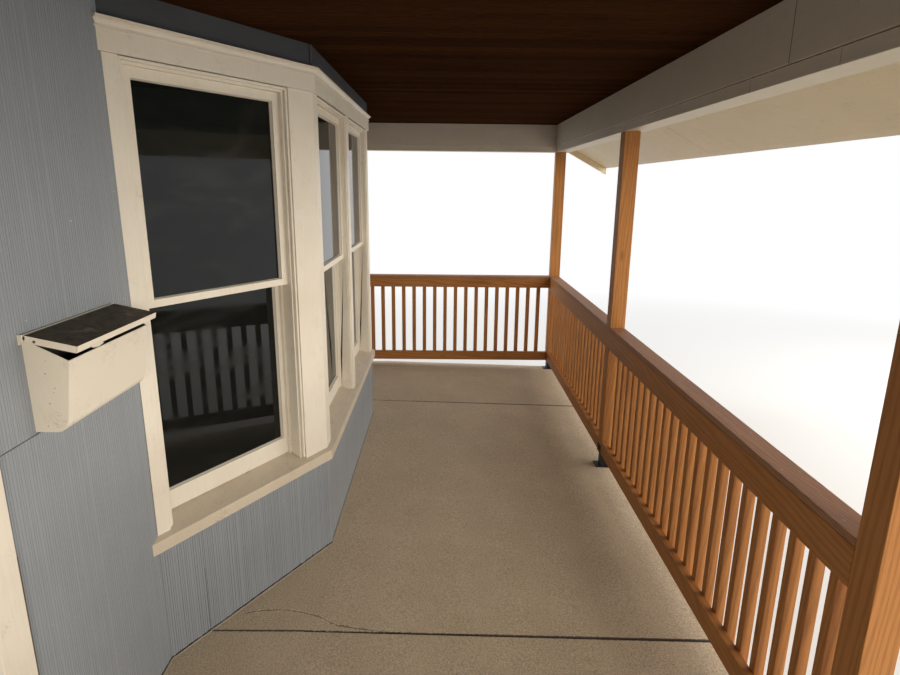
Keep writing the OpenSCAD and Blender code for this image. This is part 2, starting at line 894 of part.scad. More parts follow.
module roof_shingles() {
    color("dimgray")
        roof_layer(x_roof_near - rake_t - 10, x_roof_far + rake_t + 10, y_eave - 15, y_wall, deck_hi, roof_hi);
}

module fascia() {
    color("linen") roof_layer(x_roof_near, x_roof_far, y_eave, y_tail, 0, rafter_hi);
}

// Rake boards close the ends of the roof and hang below the soffit
module rake_boards() {
    color("linen")
        for (x = [x_roof_near - rake_t, x_roof_far])
            roof_layer(x, x + rake_t, y_eave, y_wall, -rake_drop, rafter_hi);
}

// Panels that close the ends of the roof between the end beams and the end rafters
module gable_panels() {
    z_flat = z_ceil + ceiling_t;
    y_face = y_wall - lap_over - seat;
    y_end = y_stud - seat;
    y_knee = y_core_out + (z_flat - z_roof - rafter_lo / cos(roof_slope)) / k_roof;
    color("slategray")
        for (x = [x_roof_near, x_roof_far - gable_t])
            along_x(x, x + gable_t)
                polygon([
                    [y_core, z_beam_top], [y_face, z_beam_top], [y_face, z_ceil], [y_end, z_ceil],
                    [y_end, slope_z(y_ledger, rafter_lo)], [y_ledger, slope_z(y_ledger, rafter_lo)],
                    [y_knee, z_flat], [y_core, z_flat]
                ]);
}

// Bent flashing where the roof meets the wall, a little clear of the shingles
module wall_flashing() {
    y0 = y_wall - seat;
    lo = roof_hi + seat;
    hi = lo + flash_t;
    z1 = slope_z(y0, lo) + flash_h;
    color("gray")
        along_x(x_near, x_far)
            polygon([
                [y0, slope_z(y0, lo)], [y0, z1], [y0 - flash_t, z1], [y0 - flash_t, slope_z(y0 - flash_t, hi)],
                [y0 - flash_h, slope_z(y0 - flash_h, hi)], [y0 - flash_h, slope_z(y0 - flash_h, lo)]
            ]);
}

// A rail panel in its own frame: x along the rail, y outward from the inner face
module rail_panel(l, d) {
    z_low = up(rail_low_z);
    n = ceil(l / bal_pitch);
    color("sienna") {
        block([0, 0, up(rail_h - d)], [l, rail_t, up(rail_h)]);
        block([0, 0, z_low], [l, rail_t, z_low + rail_low_d]);
        for (i = [1 : n - 1])
            translate([i * l / n - bal_w / 2, rail_t, z_low]) cube([bal_w, bal_w, up(rail_h) - z_low]);
    }
}

module rail_bay(x0, x1) {
    translate([x1, y_post, 0]) rotate([0, 0, 180]) rail_panel(x1 - x0, rail_d);
}

module rail_far_bay() {
    rail_bay(px_mid + post_w / 2, px_far - post_w / 2);
}

module rail_middle_bay() {
    rail_bay(px_near + post_w / 2, px_mid - post_w / 2);
}

// Room for the top plate and the strap of a post base at the end of a rail
module strap_notch(x) {
    half = post_w / 2 + seat;
    block([x - half, y_post - eps, floor_h], [x + half, y_post + strap_t + seat, up(post_foot + strap_h) + seat]);
}

module rail_far_end() {
    difference() {
        translate([px_far - post_w / 2, y_post, 0])
            rotate([0, 0, 90])
                mirror([0, 1, 0])
                    rail_panel(y_end_rail - y_post, rail_end_d);
        strap_notch(px_far);
    }
}

module rail_near_end() {
    difference() {
        translate([px_entry + post_w / 2, y_post, 0])
            rotate([0, 0, 90])
                rail_panel(y_end_rail - y_post, rail_end_d);
        strap_notch(px_entry);
    }
}

// Flat caps on the rails
module rail_caps() {
    z0 = up(rail_h);
    z1 = z0 + cap_t;
    hp = post_w / 2;
    color("sienna") {
        block([px_mid + hp, y_post - cap_w, z0], [px_far - hp, y_post, z1]);
        block([px_near + hp, y_post - cap_w, z0], [px_mid - hp, y_post, z1]);
        block([px_far - hp, y_post, z0], [px_far - hp + cap_w, y_end_rail, z1]);
        block([px_entry + hp - cap_w, y_post, z0], [px_entry + hp, y_end_rail, z1]);
    }
}

foundation();
floor_slab();
wall_entry_end();
wall_mailbox_side();
wall_far_end();
wall_over_door();
wall_upper();
siding_lower();
siding_upper();
door_frame();
bay_apron();
bay_sill();
bay_columns();
bay_header();
bay_head_trim();
window_near_side();
window_front_near();
window_front_far();
window_far_side();
window_glass();
mailbox_body();
mailbox_lid();
post_far();
post_middle();
post_near();
post_entry();
post_bases();
front_beam();
end_beams();
beam_facings();
ceiling();
roof_framing();
soffit();
roof_deck();
roof_shingles();
fascia();
rake_boards();
gable_panels();
wall_flashing();
rail_far_bay();
rail_middle_bay();
rail_far_end();
rail_near_end();
rail_caps();
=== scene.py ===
# %% [markdown]
# # A covered front porch in Blender
# The solids of this porch come ready made from CAD: posts, rails, beams, a canted
# bay window, a mailbox with a hinged lid. They arrive as a fixed frame that is
# never moved. What this lesson adds is everything that makes the porch look real:
# eased edges on the cedar, a beadboard ceiling, combed siding, shingles, screws,
# caulk, and a finish for each surface.

# %% Load the frame
import math
import random

import bpy
from mathutils import Matrix, Vector


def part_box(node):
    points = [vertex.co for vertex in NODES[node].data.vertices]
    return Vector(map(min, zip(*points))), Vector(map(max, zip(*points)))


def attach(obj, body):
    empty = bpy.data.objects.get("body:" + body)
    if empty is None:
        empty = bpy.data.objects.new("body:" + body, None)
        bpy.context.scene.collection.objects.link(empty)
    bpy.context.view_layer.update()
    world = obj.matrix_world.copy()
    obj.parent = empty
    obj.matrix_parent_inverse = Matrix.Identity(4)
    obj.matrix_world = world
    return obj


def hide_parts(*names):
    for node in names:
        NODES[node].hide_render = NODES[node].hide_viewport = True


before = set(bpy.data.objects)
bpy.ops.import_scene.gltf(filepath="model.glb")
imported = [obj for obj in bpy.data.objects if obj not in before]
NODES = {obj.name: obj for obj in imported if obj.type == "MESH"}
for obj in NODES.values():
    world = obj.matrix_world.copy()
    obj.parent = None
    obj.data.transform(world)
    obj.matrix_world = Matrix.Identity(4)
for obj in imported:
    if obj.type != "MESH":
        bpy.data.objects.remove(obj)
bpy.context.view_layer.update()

# %% [markdown]
# ## The camera
# The porch is seen from its entry end, at eye height, looking along the walk. A
# camera in Blender looks down its own -Z axis, so its turn is built from three
# unit vectors: right, up and back. The focal length is worked out from how many
# pixels a ray at 45 degrees lands from the middle of the picture.

# %% Camera
IMAGE_WIDTH = 900
FOCAL_PIXELS = 603.83
SENSOR = 36.0
EYE = Vector((-2.4905, -0.017, 2.1776))
PITCH, YAW, ROLL = (math.radians(a) for a in (14.036, 0.587, 0.6175))

ahead = Vector((math.cos(PITCH) * math.cos(YAW), -math.cos(PITCH) * math.sin(YAW), -math.sin(PITCH)))
level_right = Vector((-math.sin(YAW), -math.cos(YAW), 0))
level_up = level_right.cross(ahead)
right = math.cos(ROLL) * level_right + math.sin(ROLL) * level_up
upward = -math.sin(ROLL) * level_right + math.cos(ROLL) * level_up

camera_data = bpy.data.cameras.new("eye")
camera_data.sensor_width = SENSOR
camera_data.lens = SENSOR * FOCAL_PIXELS / IMAGE_WIDTH
camera_data.clip_start = 0.05
camera_data.clip_end = 200
camera = bpy.data.objects.new("eye", camera_data)
bpy.context.scene.collection.objects.link(camera)
camera.matrix_world = Matrix.Translation(EYE) @ Matrix((right, upward, -ahead)).transposed().to_4x4()
bpy.context.scene.camera = camera
print("lens", round(camera_data.lens, 2), "mm")

# %% [markdown]
# ## A short way to write nodes
# A finish is a network of nodes. Every network below is written with one helper
# class, Net, which is built up in three steps. Each of its methods adds a node,
# joins what it is given to the inputs, and returns the result socket, so that
# networks read like sums. The first step knows how to add a node and join it.

# %% Adding and joining nodes
UPRIGHT, ALONG_X, ALONG_Y = (0, 0, 0), (0, 90, 0), (90, 0, 0)
EVEN = (1, 1, 1)
SHADER = "Principled BSDF"


class Wiring:
    """A node tree, with short ways to add its nodes and join them."""

    def __init__(self, tree):
        self.tree, self.nodes = tree, tree.nodes

    def new(self, kind, **settings):
        """A new node of a kind, with some of its settings."""
        node = self.nodes.new("ShaderNode" + kind)
        for label, value in settings.items():
            setattr(node, label, value)
        return node

    def join(self, value, slot):
        """Links a socket to an input, or writes a number, a vector or a colour in it."""
        if isinstance(value, bpy.types.NodeSocket):
            self.tree.links.new(value, slot)
        elif slot.type == "RGBA":
            slot.default_value = (*value, 1)
        else:
            slot.default_value = value

    def join_all(self, node, values):
        """Joins values to the inputs of a node, by the labels of the inputs."""
        for label, value in values.items():
            self.join(value, node.inputs[label])
        return node.outputs

    def coordinates(self, kind="Object"):
        """Texture Coordinate: the place in metres, or the direction of the surface."""
        return self.new("TexCoord").outputs[kind]

    def axes(self, vector):
        """The three numbers of a vector."""
        return self.join_all(self.new("SeparateXYZ"), {"Vector": vector})

    def pair(self, x, y):
        """A vector of two numbers."""
        return self.join_all(self.new("CombineXYZ"), {"X": x, "Y": y})[0]

    def mapped(self, vector, scale=EVEN, turn=UPRIGHT):
        """The vector after a Mapping node: turned by degrees, and stretched."""
        turn = [math.radians(a) for a in turn]
        return self.join_all(self.new("Mapping"), {"Vector": vector, "Rotation": turn, "Scale": scale})[0]


print("wiring: new, join, join_all, coordinates, axes, pair, mapped")

# %% [markdown]
# ## Sums on numbers and vectors
# The second step adds sums. Most masks below are sums of a few numbers: how far a
# point is from a line, or whether it lies between two heights.

# %% Sums
class Sums(Wiring):
    """Math nodes with plain names."""

    def maths(self, operation, a, b=None, clamp=False):
        """A Math node fed by sockets or numbers."""
        node = self.new("Math", operation=operation, use_clamp=clamp)
        for value, slot in zip((a, b), node.inputs):
            if value is not None:
                self.join(value, slot)
        return node.outputs[0]

    def plus(self, a, b, clamp=False):
        return self.maths("ADD", a, b, clamp)

    def minus(self, a, b):
        return self.maths("SUBTRACT", a, b)

    def times(self, a, b, clamp=False):
        return self.maths("MULTIPLY", a, b, clamp)

    def apart(self, a, b):
        """How far two numbers are apart."""
        return self.maths("ABSOLUTE", self.minus(a, b))

    def either(self, a, b):
        """The larger of two masks."""
        return self.maths("MAXIMUM", a, b)

    def between(self, value, low, high):
        """1 where a value lies between two numbers."""
        return self.times(self.maths("GREATER_THAN", value, low), self.maths("LESS_THAN", value, high))

    def step(self, value, size):
        """The number of the step of a size that a value falls in."""
        return self.maths("FLOOR", self.maths("DIVIDE", value, size))

    def vectors(self, operation, a, b=None):
        """A Vector Math node; its outputs are Vector and Value."""
        node = self.new("VectorMath", operation=operation)
        self.join(a, node.inputs[0])
        if b is not None:
            self.join(b, node.inputs[1])
        return node.outputs


print("sums: plus, minus, times, apart, either, between, step, vectors")

# %% [markdown]
# ## Patterns and surfaces
# The third step adds textures and what goes on a surface. Noise reads object
# coordinates, which are metres in this frame, so a scale of 100 means detail of
# about a centimetre.

# %% Patterns and surfaces
class Net(Sums):
    """Textures, colours and what goes on the shader of a material."""

    def noise(self, vector, scale, detail=3.0, rough=0.55, distortion=0.0):
        """The grey value of a Noise texture."""
        return self.join_all(self.new("TexNoise"), {
            "Vector": vector, "Scale": scale, "Detail": detail, "Roughness": rough, "Distortion": distortion})["Fac"]

    def lottery(self, dimensions, label, number):
        """A White Noise value, drawn once for each whole number or pair of numbers."""
        return self.join_all(self.new("TexWhiteNoise", noise_dimensions=dimensions), {label: number})["Value"]

    def spread(self, value, low, high, out_low=0.0, out_high=1.0):
        """Map Range, clamped: the part of a value between low and high, stretched out."""
        return self.join_all(self.new("MapRange"), {
            "Value": value, "From Min": low, "From Max": high, "To Min": out_low, "To Max": out_high})[0]

    def jitter(self, vector, reach, scale, detail, rough=0.55):
        """A noise between -reach and reach, which makes a straight line uneven."""
        return self.spread(self.noise(vector, scale, detail, rough), 0.3, 0.7, -reach, reach)

    def blend(self, factor, a, b):
        """A Mix node for two colours, in linear light."""
        node = self.new("Mix", data_type="RGBA")
        self.join(factor, node.inputs["Factor"])
        for value, slot in zip((a, b), [s for s in node.inputs if s.type == "RGBA"]):
            self.join(value, slot)
        return [s for s in node.outputs if s.type == "RGBA"][0]

    def lay_over(self, mask, color):
        """Lays a second colour over the base colour of the material where the mask is 1."""
        base = self.nodes[SHADER].inputs["Base Color"]
        self.join(self.blend(mask, base.links[0].from_socket, color), base)

    def placed(self, group, values):
        """A shared node group with its inputs fed."""
        return self.join_all(self.new("Group", node_tree=group), values)

    def bump(self, height, distance):
        """Turns a height into a bump of so many metres on the material."""
        relief = self.join_all(self.new("Bump"), {"Height": height, "Distance": distance})
        self.join(relief[0], self.nodes[SHADER].inputs["Normal"])

    def seen(self):
        """1 for the rays of the camera, of reflections and through glass."""
        rays = self.new("LightPath").outputs
        return self.either(self.either(rays["Is Camera Ray"], rays["Is Glossy Ray"]), rays["Is Transmission Ray"])

    def two_shaders(self, factor, first, second, output):
        """Sends a mix of two shader nodes to the output node."""
        mix = self.new("MixShader")
        for value, slot in zip((factor, first.outputs[0], second.outputs[0]), mix.inputs):
            self.join(value, slot)
        self.join(mix.outputs[0], self.nodes[output].inputs["Surface"])


print("patterns: noise, lottery, spread, jitter, blend")

# %% Materials and groups
def new_material(name):
    """A node material and its net."""
    material = bpy.data.materials.new(name)
    material.use_nodes = True
    return material, Net(material.node_tree)


def new_group(name, inputs, outputs):
    """A shader node group, its net, the sockets it is given and those it fills."""
    group = bpy.data.node_groups.new(name, "ShaderNodeTree")
    for label, kind, value in inputs:
        socket = group.interface.new_socket(label, in_out="INPUT", socket_type="NodeSocket" + kind)
        if value is not None:
            socket.default_value = value
    for label, kind in outputs:
        group.interface.new_socket(label, in_out="OUTPUT", socket_type="NodeSocket" + kind)
    return group, Net(group), group.nodes.new("NodeGroupInput").outputs, group.nodes.new("NodeGroupOutput")


print("a net has", len([m for m in dir(Net) if not m.startswith("_")]), "ways to add or join nodes")

# %% [markdown]
# ## The studio
# A pale floor catches the shadow of the porch and fades to white further out. The
# world is white to the camera, to reflections and through glass, and a plain soft
# grey as a light. Two large lamps stand on the street side and beyond the entry
# end, low enough to reach in under the roof, and a third one behind the house wall
# keeps its back readable. The lamps stay out of reflections, where they would read
# as grey blocks in the glass.

# %% Studio floor and world
bpy.context.scene.view_settings.view_transform = "Standard"
FLOOR_SIZE, FLOOR_DROP = 120, 0.0005
FADE_FROM, FADE_TO = 4.5, 11.0
bpy.ops.object.select_all(action="DESELECT")
bpy.ops.mesh.primitive_plane_add(size=FLOOR_SIZE, location=(0, 0, -FLOOR_DROP))
studio_floor = bpy.context.object
studio_floor.name = "studio_floor"
studio_paper, net = new_material("studio_paper")
paper = net.nodes[SHADER]
net.join_all(paper, {"Base Color": (0.78, 0.78, 0.78), "Roughness": 0.9})
from_middle = net.vectors("LENGTH", net.coordinates())["Value"]
faded = net.times(net.seen(), net.spread(from_middle, FADE_FROM, FADE_TO))
net.two_shaders(faded, paper, net.new("Emission"), "Material Output")
studio_floor.data.materials.append(studio_paper)

world = bpy.data.worlds.new("studio")
bpy.context.scene.world = world
world.use_nodes = True
net = Net(world.node_tree)
ambient, white = net.nodes["Background"], net.new("Background")
net.join_all(ambient, {"Color": (1.0, 0.985, 0.96), "Strength": 0.70})
net.join_all(white, {"Color": (1, 1, 1)})
net.two_shaders(net.seen(), ambient, white, "World Output")
print("floor fades from", FADE_FROM, "to", FADE_TO, "m")

# %% Lamps
WARM, COOL = (1.0, 0.95, 0.87), (0.93, 0.97, 1.0)
for name, place, aim, width, height, watts, tint in (
        ("entry_lamp", (-8.5, -3.2, 3.0), (0.5, 0.4, 1.0), 3.0, 2.4, 390, WARM),
        ("street_lamp", (0.5, -8.0, 2.6), (0.3, 0.5, 1.2), 9.0, 3.0, 560, WARM),
        ("garden_lamp", (5.0, 8.0, 5.0), (0.0, 1.2, 1.5), 5.0, 4.0, 500, COOL)):
    data = bpy.data.lights.new(name, "AREA")
    data.shape = "RECTANGLE"
    data.size, data.size_y, data.energy, data.color = width, height, watts, tint
    lamp = bpy.data.objects.new(name, data)
    bpy.context.scene.collection.objects.link(lamp)
    lamp.location = place
    lamp.rotation_euler = (Vector(aim) - Vector(place)).to_track_quat("-Z", "Y").to_euler()
    lamp.visible_glossy = False

# %% [markdown]
# ## Wood grain
# Effects that several finishes share are built once as a shader node group with
# named inputs and outputs. Sawn cedar shows long dark latewood lines, drifting
# slowly, with fine pores between them and a few knots. The lines come from a wave
# over a coordinate that a slow noise bends. The group takes a vector whose Z axis
# runs along the board, so one group serves posts, rails and balusters.

# %% Wood grain group
OUTPUTS = [("Color", "Color"), ("Rough", "Float"), ("Height", "Float")]
BEND = 0.10
grain_group, net, given, result = new_group(
    "wood_grain",
    [("Vector", "Vector", None), ("Ring Scale", "Float", 55.0), ("Light", "Color", (0.4, 0.15, 0.05, 1)),
     ("Dark", "Color", (0.2, 0.06, 0.02, 1)), ("Knots", "Float", 1.0)], OUTPUTS)
vector = given["Vector"]
sway = net.times(net.noise(net.mapped(vector, (5.0, 5.0, 0.55)), 1.0, 2.0), BEND)
bent = net.vectors("ADD", vector, net.pair(sway, sway))["Vector"]
rings = net.join_all(net.new("TexWave", wave_type="BANDS", bands_direction="DIAGONAL"), {
    "Vector": net.mapped(bent, (1.0, 1.0, 0.045)), "Scale": given["Ring Scale"],
    "Distortion": 2.4, "Detail": 2.0, "Detail Scale": 1.2})["Fac"]
late = net.spread(rings, 0.35, 0.95)
pores = net.noise(net.mapped(vector, (520, 520, 16)), 1.0, 2.0, 0.6)
patches = net.noise(net.mapped(vector, (6, 6, 1.6)), 1.0, 3.0)
cells = net.join_all(net.new("TexVoronoi"), {"Vector": net.mapped(vector, (5.0, 5.0, 1.7)), "Scale": 1.0})
knots = net.times(net.spread(cells["Distance"], 0.10, 0.045), given["Knots"])
tone = net.plus(net.times(late, 0.32), net.times(net.spread(pores, 0.42, 0.75), 0.34), clamp=True)
tone = net.plus(tone, net.spread(patches, 0.52, 0.85, 0.0, 0.45), clamp=True)
tone = net.either(tone, knots)
net.join_all(result, {
    "Color": net.blend(tone, given["Light"], given["Dark"]),
    "Rough": net.spread(tone, 0.0, 1.0, 0.62, 0.42),
    "Height": net.minus(1.0, tone)})
print("group", grain_group.name, "has", len(grain_group.nodes), "nodes")

# %% [markdown]
# ## Brushed paint
# House paint on wood is never one colour. It carries brush marks along the
# board, slow patches where it has yellowed, small specks of dirt, and chips where
# the layer has let go. The group takes the brush direction as a stretched vector
# and gives back a colour, a roughness and a height.

# %% Brushed paint group
paint_group, net, given, result = new_group(
    "brushed_paint",
    [("Vector", "Vector", None), ("Brush Vector", "Vector", None), ("Paint", "Color", (0.7, 0.65, 0.55, 1)),
     ("Aged", "Color", (0.55, 0.48, 0.36, 1)), ("Dirt", "Color", (0.10, 0.08, 0.06, 1)),
     ("Dirt Amount", "Float", 0.3)], OUTPUTS)
marks = net.noise(given["Brush Vector"], 1.0, 3.0, 0.6)
age = net.noise(given["Vector"], 2.3, 4.0, 0.6)
blotch = net.noise(given["Vector"], 11.0, 5.0, 0.62)
specks = net.noise(given["Vector"], 130.0, 2.0, 0.5)
aged = net.plus(net.spread(age, 0.42, 0.75, 0.0, 0.55), net.spread(marks, 0.45, 0.8, 0.0, 0.35), clamp=True)
coat = net.blend(aged, given["Paint"], given["Aged"])
grime = net.times(net.spread(blotch, 0.56, 0.74), net.spread(specks, 0.42, 0.72))
grime = net.times(net.either(grime, net.spread(specks, 0.735, 0.78)), given["Dirt Amount"], clamp=True)
net.join_all(result, {
    "Color": net.blend(grime, coat, given["Dirt"]),
    "Rough": net.spread(net.plus(marks, grime), 0.3, 1.3, 0.40, 0.66),
    "Height": net.minus(net.plus(marks, net.times(blotch, 0.5)), grime)})
print("group", paint_group.name, "has", len(paint_group.nodes), "nodes")

# %% [markdown]
# ## Colour by the way a surface faces
# The lid of the mailbox is darker where it looks up, partly with dust and partly as
# painted shade, and the underside of a beam has another paint than its inner face.
# The Normal output of Texture Coordinate gives the direction of a surface in the
# object's own axes, so the colour turns with a lid that opens. A group compares it
# with an axis and puts out a mask.

# %% Facing mask group
facing_group, net, given, result = new_group(
    "facing_mask",
    [("Normal", "Vector", None), ("Axis", "Vector", (0, 0, 1)), ("From", "Float", 0.6), ("To", "Float", 0.9)],
    [("Mask", "Float")])
along = net.vectors("DOT_PRODUCT", given["Normal"], given["Axis"])["Value"]
net.join(net.spread(along, given["From"], given["To"]), result.inputs["Mask"])


def facing(net, axis, low, high):
    """A mask that is 1 where the surface faces along the axis."""
    return net.placed(facing_group, {
        "Normal": net.coordinates("Normal"), "Axis": axis, "From": low, "To": high})["Mask"]


print("group", facing_group.name, "has", len(facing_group.nodes), "nodes")

# %% [markdown]
# ## Putting a group in a material
# Each material keeps its own Principled shader. The helper places a group, sets
# its values, joins its colour and roughness to the shader, and turns its height
# into a bump of a stated depth in metres.

# %% Helpers for finishes
FINISHES = {}


def finish_with(name, group, values, bump, turn=UPRIGHT, brush=None, coat_weight=0.0, metallic=0.0, gloss=0.5):
    """A finish that places one shared group; brush is the stretch of its brush marks."""
    FINISHES[name], net = new_material(name)
    place = net.coordinates()
    fed = {**values, "Vector": net.mapped(place, turn=turn)}
    if brush:
        fed["Brush Vector"] = net.mapped(place, brush)
    made = net.placed(group, fed)
    net.join_all(net.nodes[SHADER], {
        "Base Color": made["Color"], "Roughness": made["Rough"],
        "Coat Weight": coat_weight, "Metallic": metallic, "Specular IOR Level": gloss})
    net.bump(made["Height"], bump)
    return net


def timber(light, dark, ring_scale, knots):
    """The values of a wood grain."""
    return {"Light": light, "Dark": dark, "Ring Scale": ring_scale, "Knots": knots}


def paint(fresh, aged, dirt, amount=0.35):
    """The values of a brushed paint."""
    return {"Paint": fresh, "Aged": aged, "Dirt": dirt, "Dirt Amount": amount}


print("finishes are kept by name in a dictionary")

# %% [markdown]
# ## Cedar
# The posts and balusters are stained cedar, orange brown in the light. The rails
# use the same stain, but their grain lies along the board, so the vector is
# turned before it reaches the group. The caps have lost most of their stain.

# %% Cedar finishes
CEDAR = timber((0.475, 0.205, 0.062), (0.205, 0.076, 0.021), 27.0, 0.75)
WEATHERED = timber((0.405, 0.205, 0.112), (0.135, 0.058, 0.031), 62.0, 0.8)
SAWN = timber((0.58, 0.40, 0.21), (0.36, 0.22, 0.10), 40.0, 1.0)
for name, wood, turn, bump, gloss in (
        ("cedar_upright", CEDAR, UPRIGHT, 0.0006, 0.22),
        ("cedar_along_x", CEDAR, ALONG_X, 0.0006, 0.22),
        ("cedar_along_y", CEDAR, ALONG_Y, 0.0006, 0.22),
        ("cap_along_x", WEATHERED, ALONG_X, 0.0012, 0.25),
        ("cap_along_y", WEATHERED, ALONG_Y, 0.0012, 0.25),
        ("framing_timber", SAWN, ALONG_Y, 0.0005, 0.5),
        ("deck_sheathing", SAWN, ALONG_X, 0.0008, 0.5)):
    finish_with(name, grain_group, wood, bump, turn=turn, gloss=gloss)
print("timber finishes:", list(FINISHES))

# %% [markdown]
# ## Painted woodwork and metal
# The window woodwork and casings are cream, yellowed in places. The boards on the
# beams are a darker taupe, and the soffit and the eave boards are warm cream. The
# siding and the band over the bay are blue grey, with brush marks up the wall.
# The mailbox is cream enamel on sheet steel. The post bases are powder coated
# black, the flashing is dull grey, and the room side of the wall is smooth plaster.

# %% Painted finishes
CREAM = paint((0.74, 0.675, 0.565), (0.62, 0.535, 0.41), (0.20, 0.16, 0.12))
TAUPE = paint((0.53, 0.465, 0.375), (0.43, 0.37, 0.285), (0.14, 0.11, 0.08))
BUFF = paint((0.655, 0.545, 0.345), (0.56, 0.455, 0.27), (0.22, 0.17, 0.11))
SLATE = paint((0.268, 0.285, 0.300), (0.228, 0.243, 0.258), (0.33, 0.32, 0.29), 0.22)
BAND = paint((0.070, 0.074, 0.080), (0.052, 0.054, 0.058), (0.035, 0.03, 0.028))
SILL = paint((0.60, 0.51, 0.39), (0.42, 0.345, 0.25), (0.16, 0.12, 0.08), 0.8)
ENAMEL = paint((0.735, 0.665, 0.545), (0.69, 0.61, 0.48), (0.12, 0.075, 0.045), 0.5)
POWDER = paint((0.010, 0.010, 0.011), (0.018, 0.016, 0.015), (0.14, 0.11, 0.08))
LEAD = paint((0.20, 0.205, 0.21), (0.26, 0.26, 0.255), (0.10, 0.09, 0.08), 0.5)
PLASTER = paint((0.62, 0.59, 0.53), (0.56, 0.52, 0.45), (0.35, 0.30, 0.24), 0.25)
CAULK = paint((0.36, 0.31, 0.24), (0.24, 0.20, 0.155), (0.08, 0.06, 0.045), 0.9)
# The dark paint of the painted shadow lines under the facings and beside the casings.
SHADOW_PAINT = paint((0.10, 0.08, 0.06), (0.06, 0.048, 0.036), (0.03, 0.025, 0.02), 0.9)
STEEL = paint((0.36, 0.34, 0.31), (0.25, 0.20, 0.15), (0.12, 0.06, 0.03), 0.8)
BRUSH_UP, BRUSH_X = (230, 230, 9), (9, 230, 230)
PAINTED = {}
for name, values, brush, bump, more in (
        ("cream_upright", CREAM, BRUSH_UP, 0.0004, {}),
        ("cream_level", CREAM, BRUSH_X, 0.0004, {}),
        ("taupe_level", TAUPE, BRUSH_X, 0.0005, {}),
        ("beam_two_tone", TAUPE, BRUSH_X, 0.0005, {}),
        ("buff_level", BUFF, BRUSH_X, 0.0005, {}),
        ("soffit_cream", BUFF, BRUSH_X, 0.0005, {"gloss": 0.3}),
        ("slate_upright", SLATE, BRUSH_UP, 0.0005, {"gloss": 0.25}),
        ("band_level", BAND, BRUSH_X, 0.0005, {"gloss": 0.2}),
        ("worn_sill", SILL, BRUSH_X, 0.0008, {}),
        ("mailbox_enamel", ENAMEL, (230, 230, 230), 0.0006, {"coat_weight": 0.15}),
        ("lid_enamel", ENAMEL, (60, 60, 60), 0.0001, {"gloss": 0.05}),
        ("black_powder", POWDER, (300, 300, 300), 0.0002, {"gloss": 0.25}),
        ("flashing_grey", LEAD, BRUSH_X, 0.0003, {"metallic": 0.6}),
        ("room_plaster", PLASTER, (40, 40, 40), 0.0004, {}),
        ("old_caulk", CAULK, (150, 150, 150), 0.0012, {}),
        # This dark finish paints the shadow lines under the facings and beside the casings.
        ("painted_shadow_line", SHADOW_PAINT, (150, 150, 150), 0.0008, {"gloss": 0.2}),
        ("screw_steel", STEEL, (500, 500, 500), 0.0001, {"metallic": 0.8})):
    PAINTED[name] = finish_with(name, paint_group, values, bump, brush=brush, **more)
print(len(PAINTED), "painted finishes")

# %% The two paints of a beam
BEAM_INSIDE_X, BEAM_INSIDE_Y = 3.65, -1.15
BREAKS_X, REVEAL_Y, REVEAL_TOP_Z = (-0.204, -0.712), -1.10, 2.555
BUTT_JOINT_X = -0.4666
net = PAINTED["beam_two_tone"]
place = net.coordinates()
at_x, at_y, at_z = net.axes(place)
beyond = net.either(net.maths("GREATER_THAN", net.maths("ABSOLUTE", at_x), BEAM_INSIDE_X),
                    net.maths("LESS_THAN", at_y, BEAM_INSIDE_Y))
patches = net.spread(net.noise(place, 2.3, 4.0, 0.6), 0.42, 0.75, 0.0, 0.6)
net.lay_over(beyond, net.blend(patches, BUFF["Paint"], BUFF["Aged"]))
net.lay_over(facing(net, (0, 0, -1), 0.5, 0.8), net.blend(patches, (0.49, 0.405, 0.255), (0.42, 0.345, 0.21)))
at_break = net.maths("MINIMUM", *(net.apart(at_x, x) for x in BREAKS_X))
on_reveal = net.times(net.maths("GREATER_THAN", at_y, REVEAL_Y), net.maths("LESS_THAN", at_z, REVEAL_TOP_Z))
net.lay_over(net.times(net.spread(at_break, 0.0016, 0.0008), on_reveal), (0.12, 0.095, 0.07))
net = PAINTED["taupe_level"]
at_x = net.axes(net.coordinates())["X"]
net.lay_over(net.spread(net.apart(at_x, BUTT_JOINT_X), 0.0022, 0.0014), (0.075, 0.06, 0.045))
print("beams: taupe inside, buff below and outside, two breaks in the low strip and a butt joint above")

# %% [markdown]
# ## Lines that belong to one surface
# The combed siding darkens in its grooves, partly with dirt and partly as painted
# shade in the hollows: the points pushed in later carry an attribute called groove,
# and the material darkens where it is 1. A dark, ragged band of painted shade
# follows the foot of the siding. The soffit is built of panels of 2.08 m, and
# their seams come from Ping Pong, which measures the distance to the nearest
# multiple of the panel.

# %% Grooves and painted foot shade of the siding
# Top of the band of painted shade at the foot of the siding.
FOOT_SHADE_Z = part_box("bay_apron")[0].z + 0.0120
net = PAINTED["slate_upright"]
place = net.coordinates()
groove = net.new("Attribute", attribute_name="groove").outputs["Fac"]
# Grooves darker where the groove attribute is 1: partly dirt, partly painted shade in the hollows.
net.lay_over(net.times(net.spread(groove, 0.10, 0.95), 0.60), (0.085, 0.092, 0.105))
# Painted shade: a dark, ragged band along the foot of the siding, where it meets the floor.
ragged = net.plus(net.axes(place)["Z"], net.jitter(place, 0.0028, 55.0, 4.0, 0.65))
net.lay_over(net.spread(ragged, FOOT_SHADE_Z, FOOT_SHADE_Z - 0.0015), (0.018, 0.017, 0.016))
net.lay_over(net.spread(net.noise(place, 70.0, 1.0), 0.81, 0.825), (0.55, 0.54, 0.50))
print("dark line up to", round(FOOT_SHADE_Z, 3), "m")

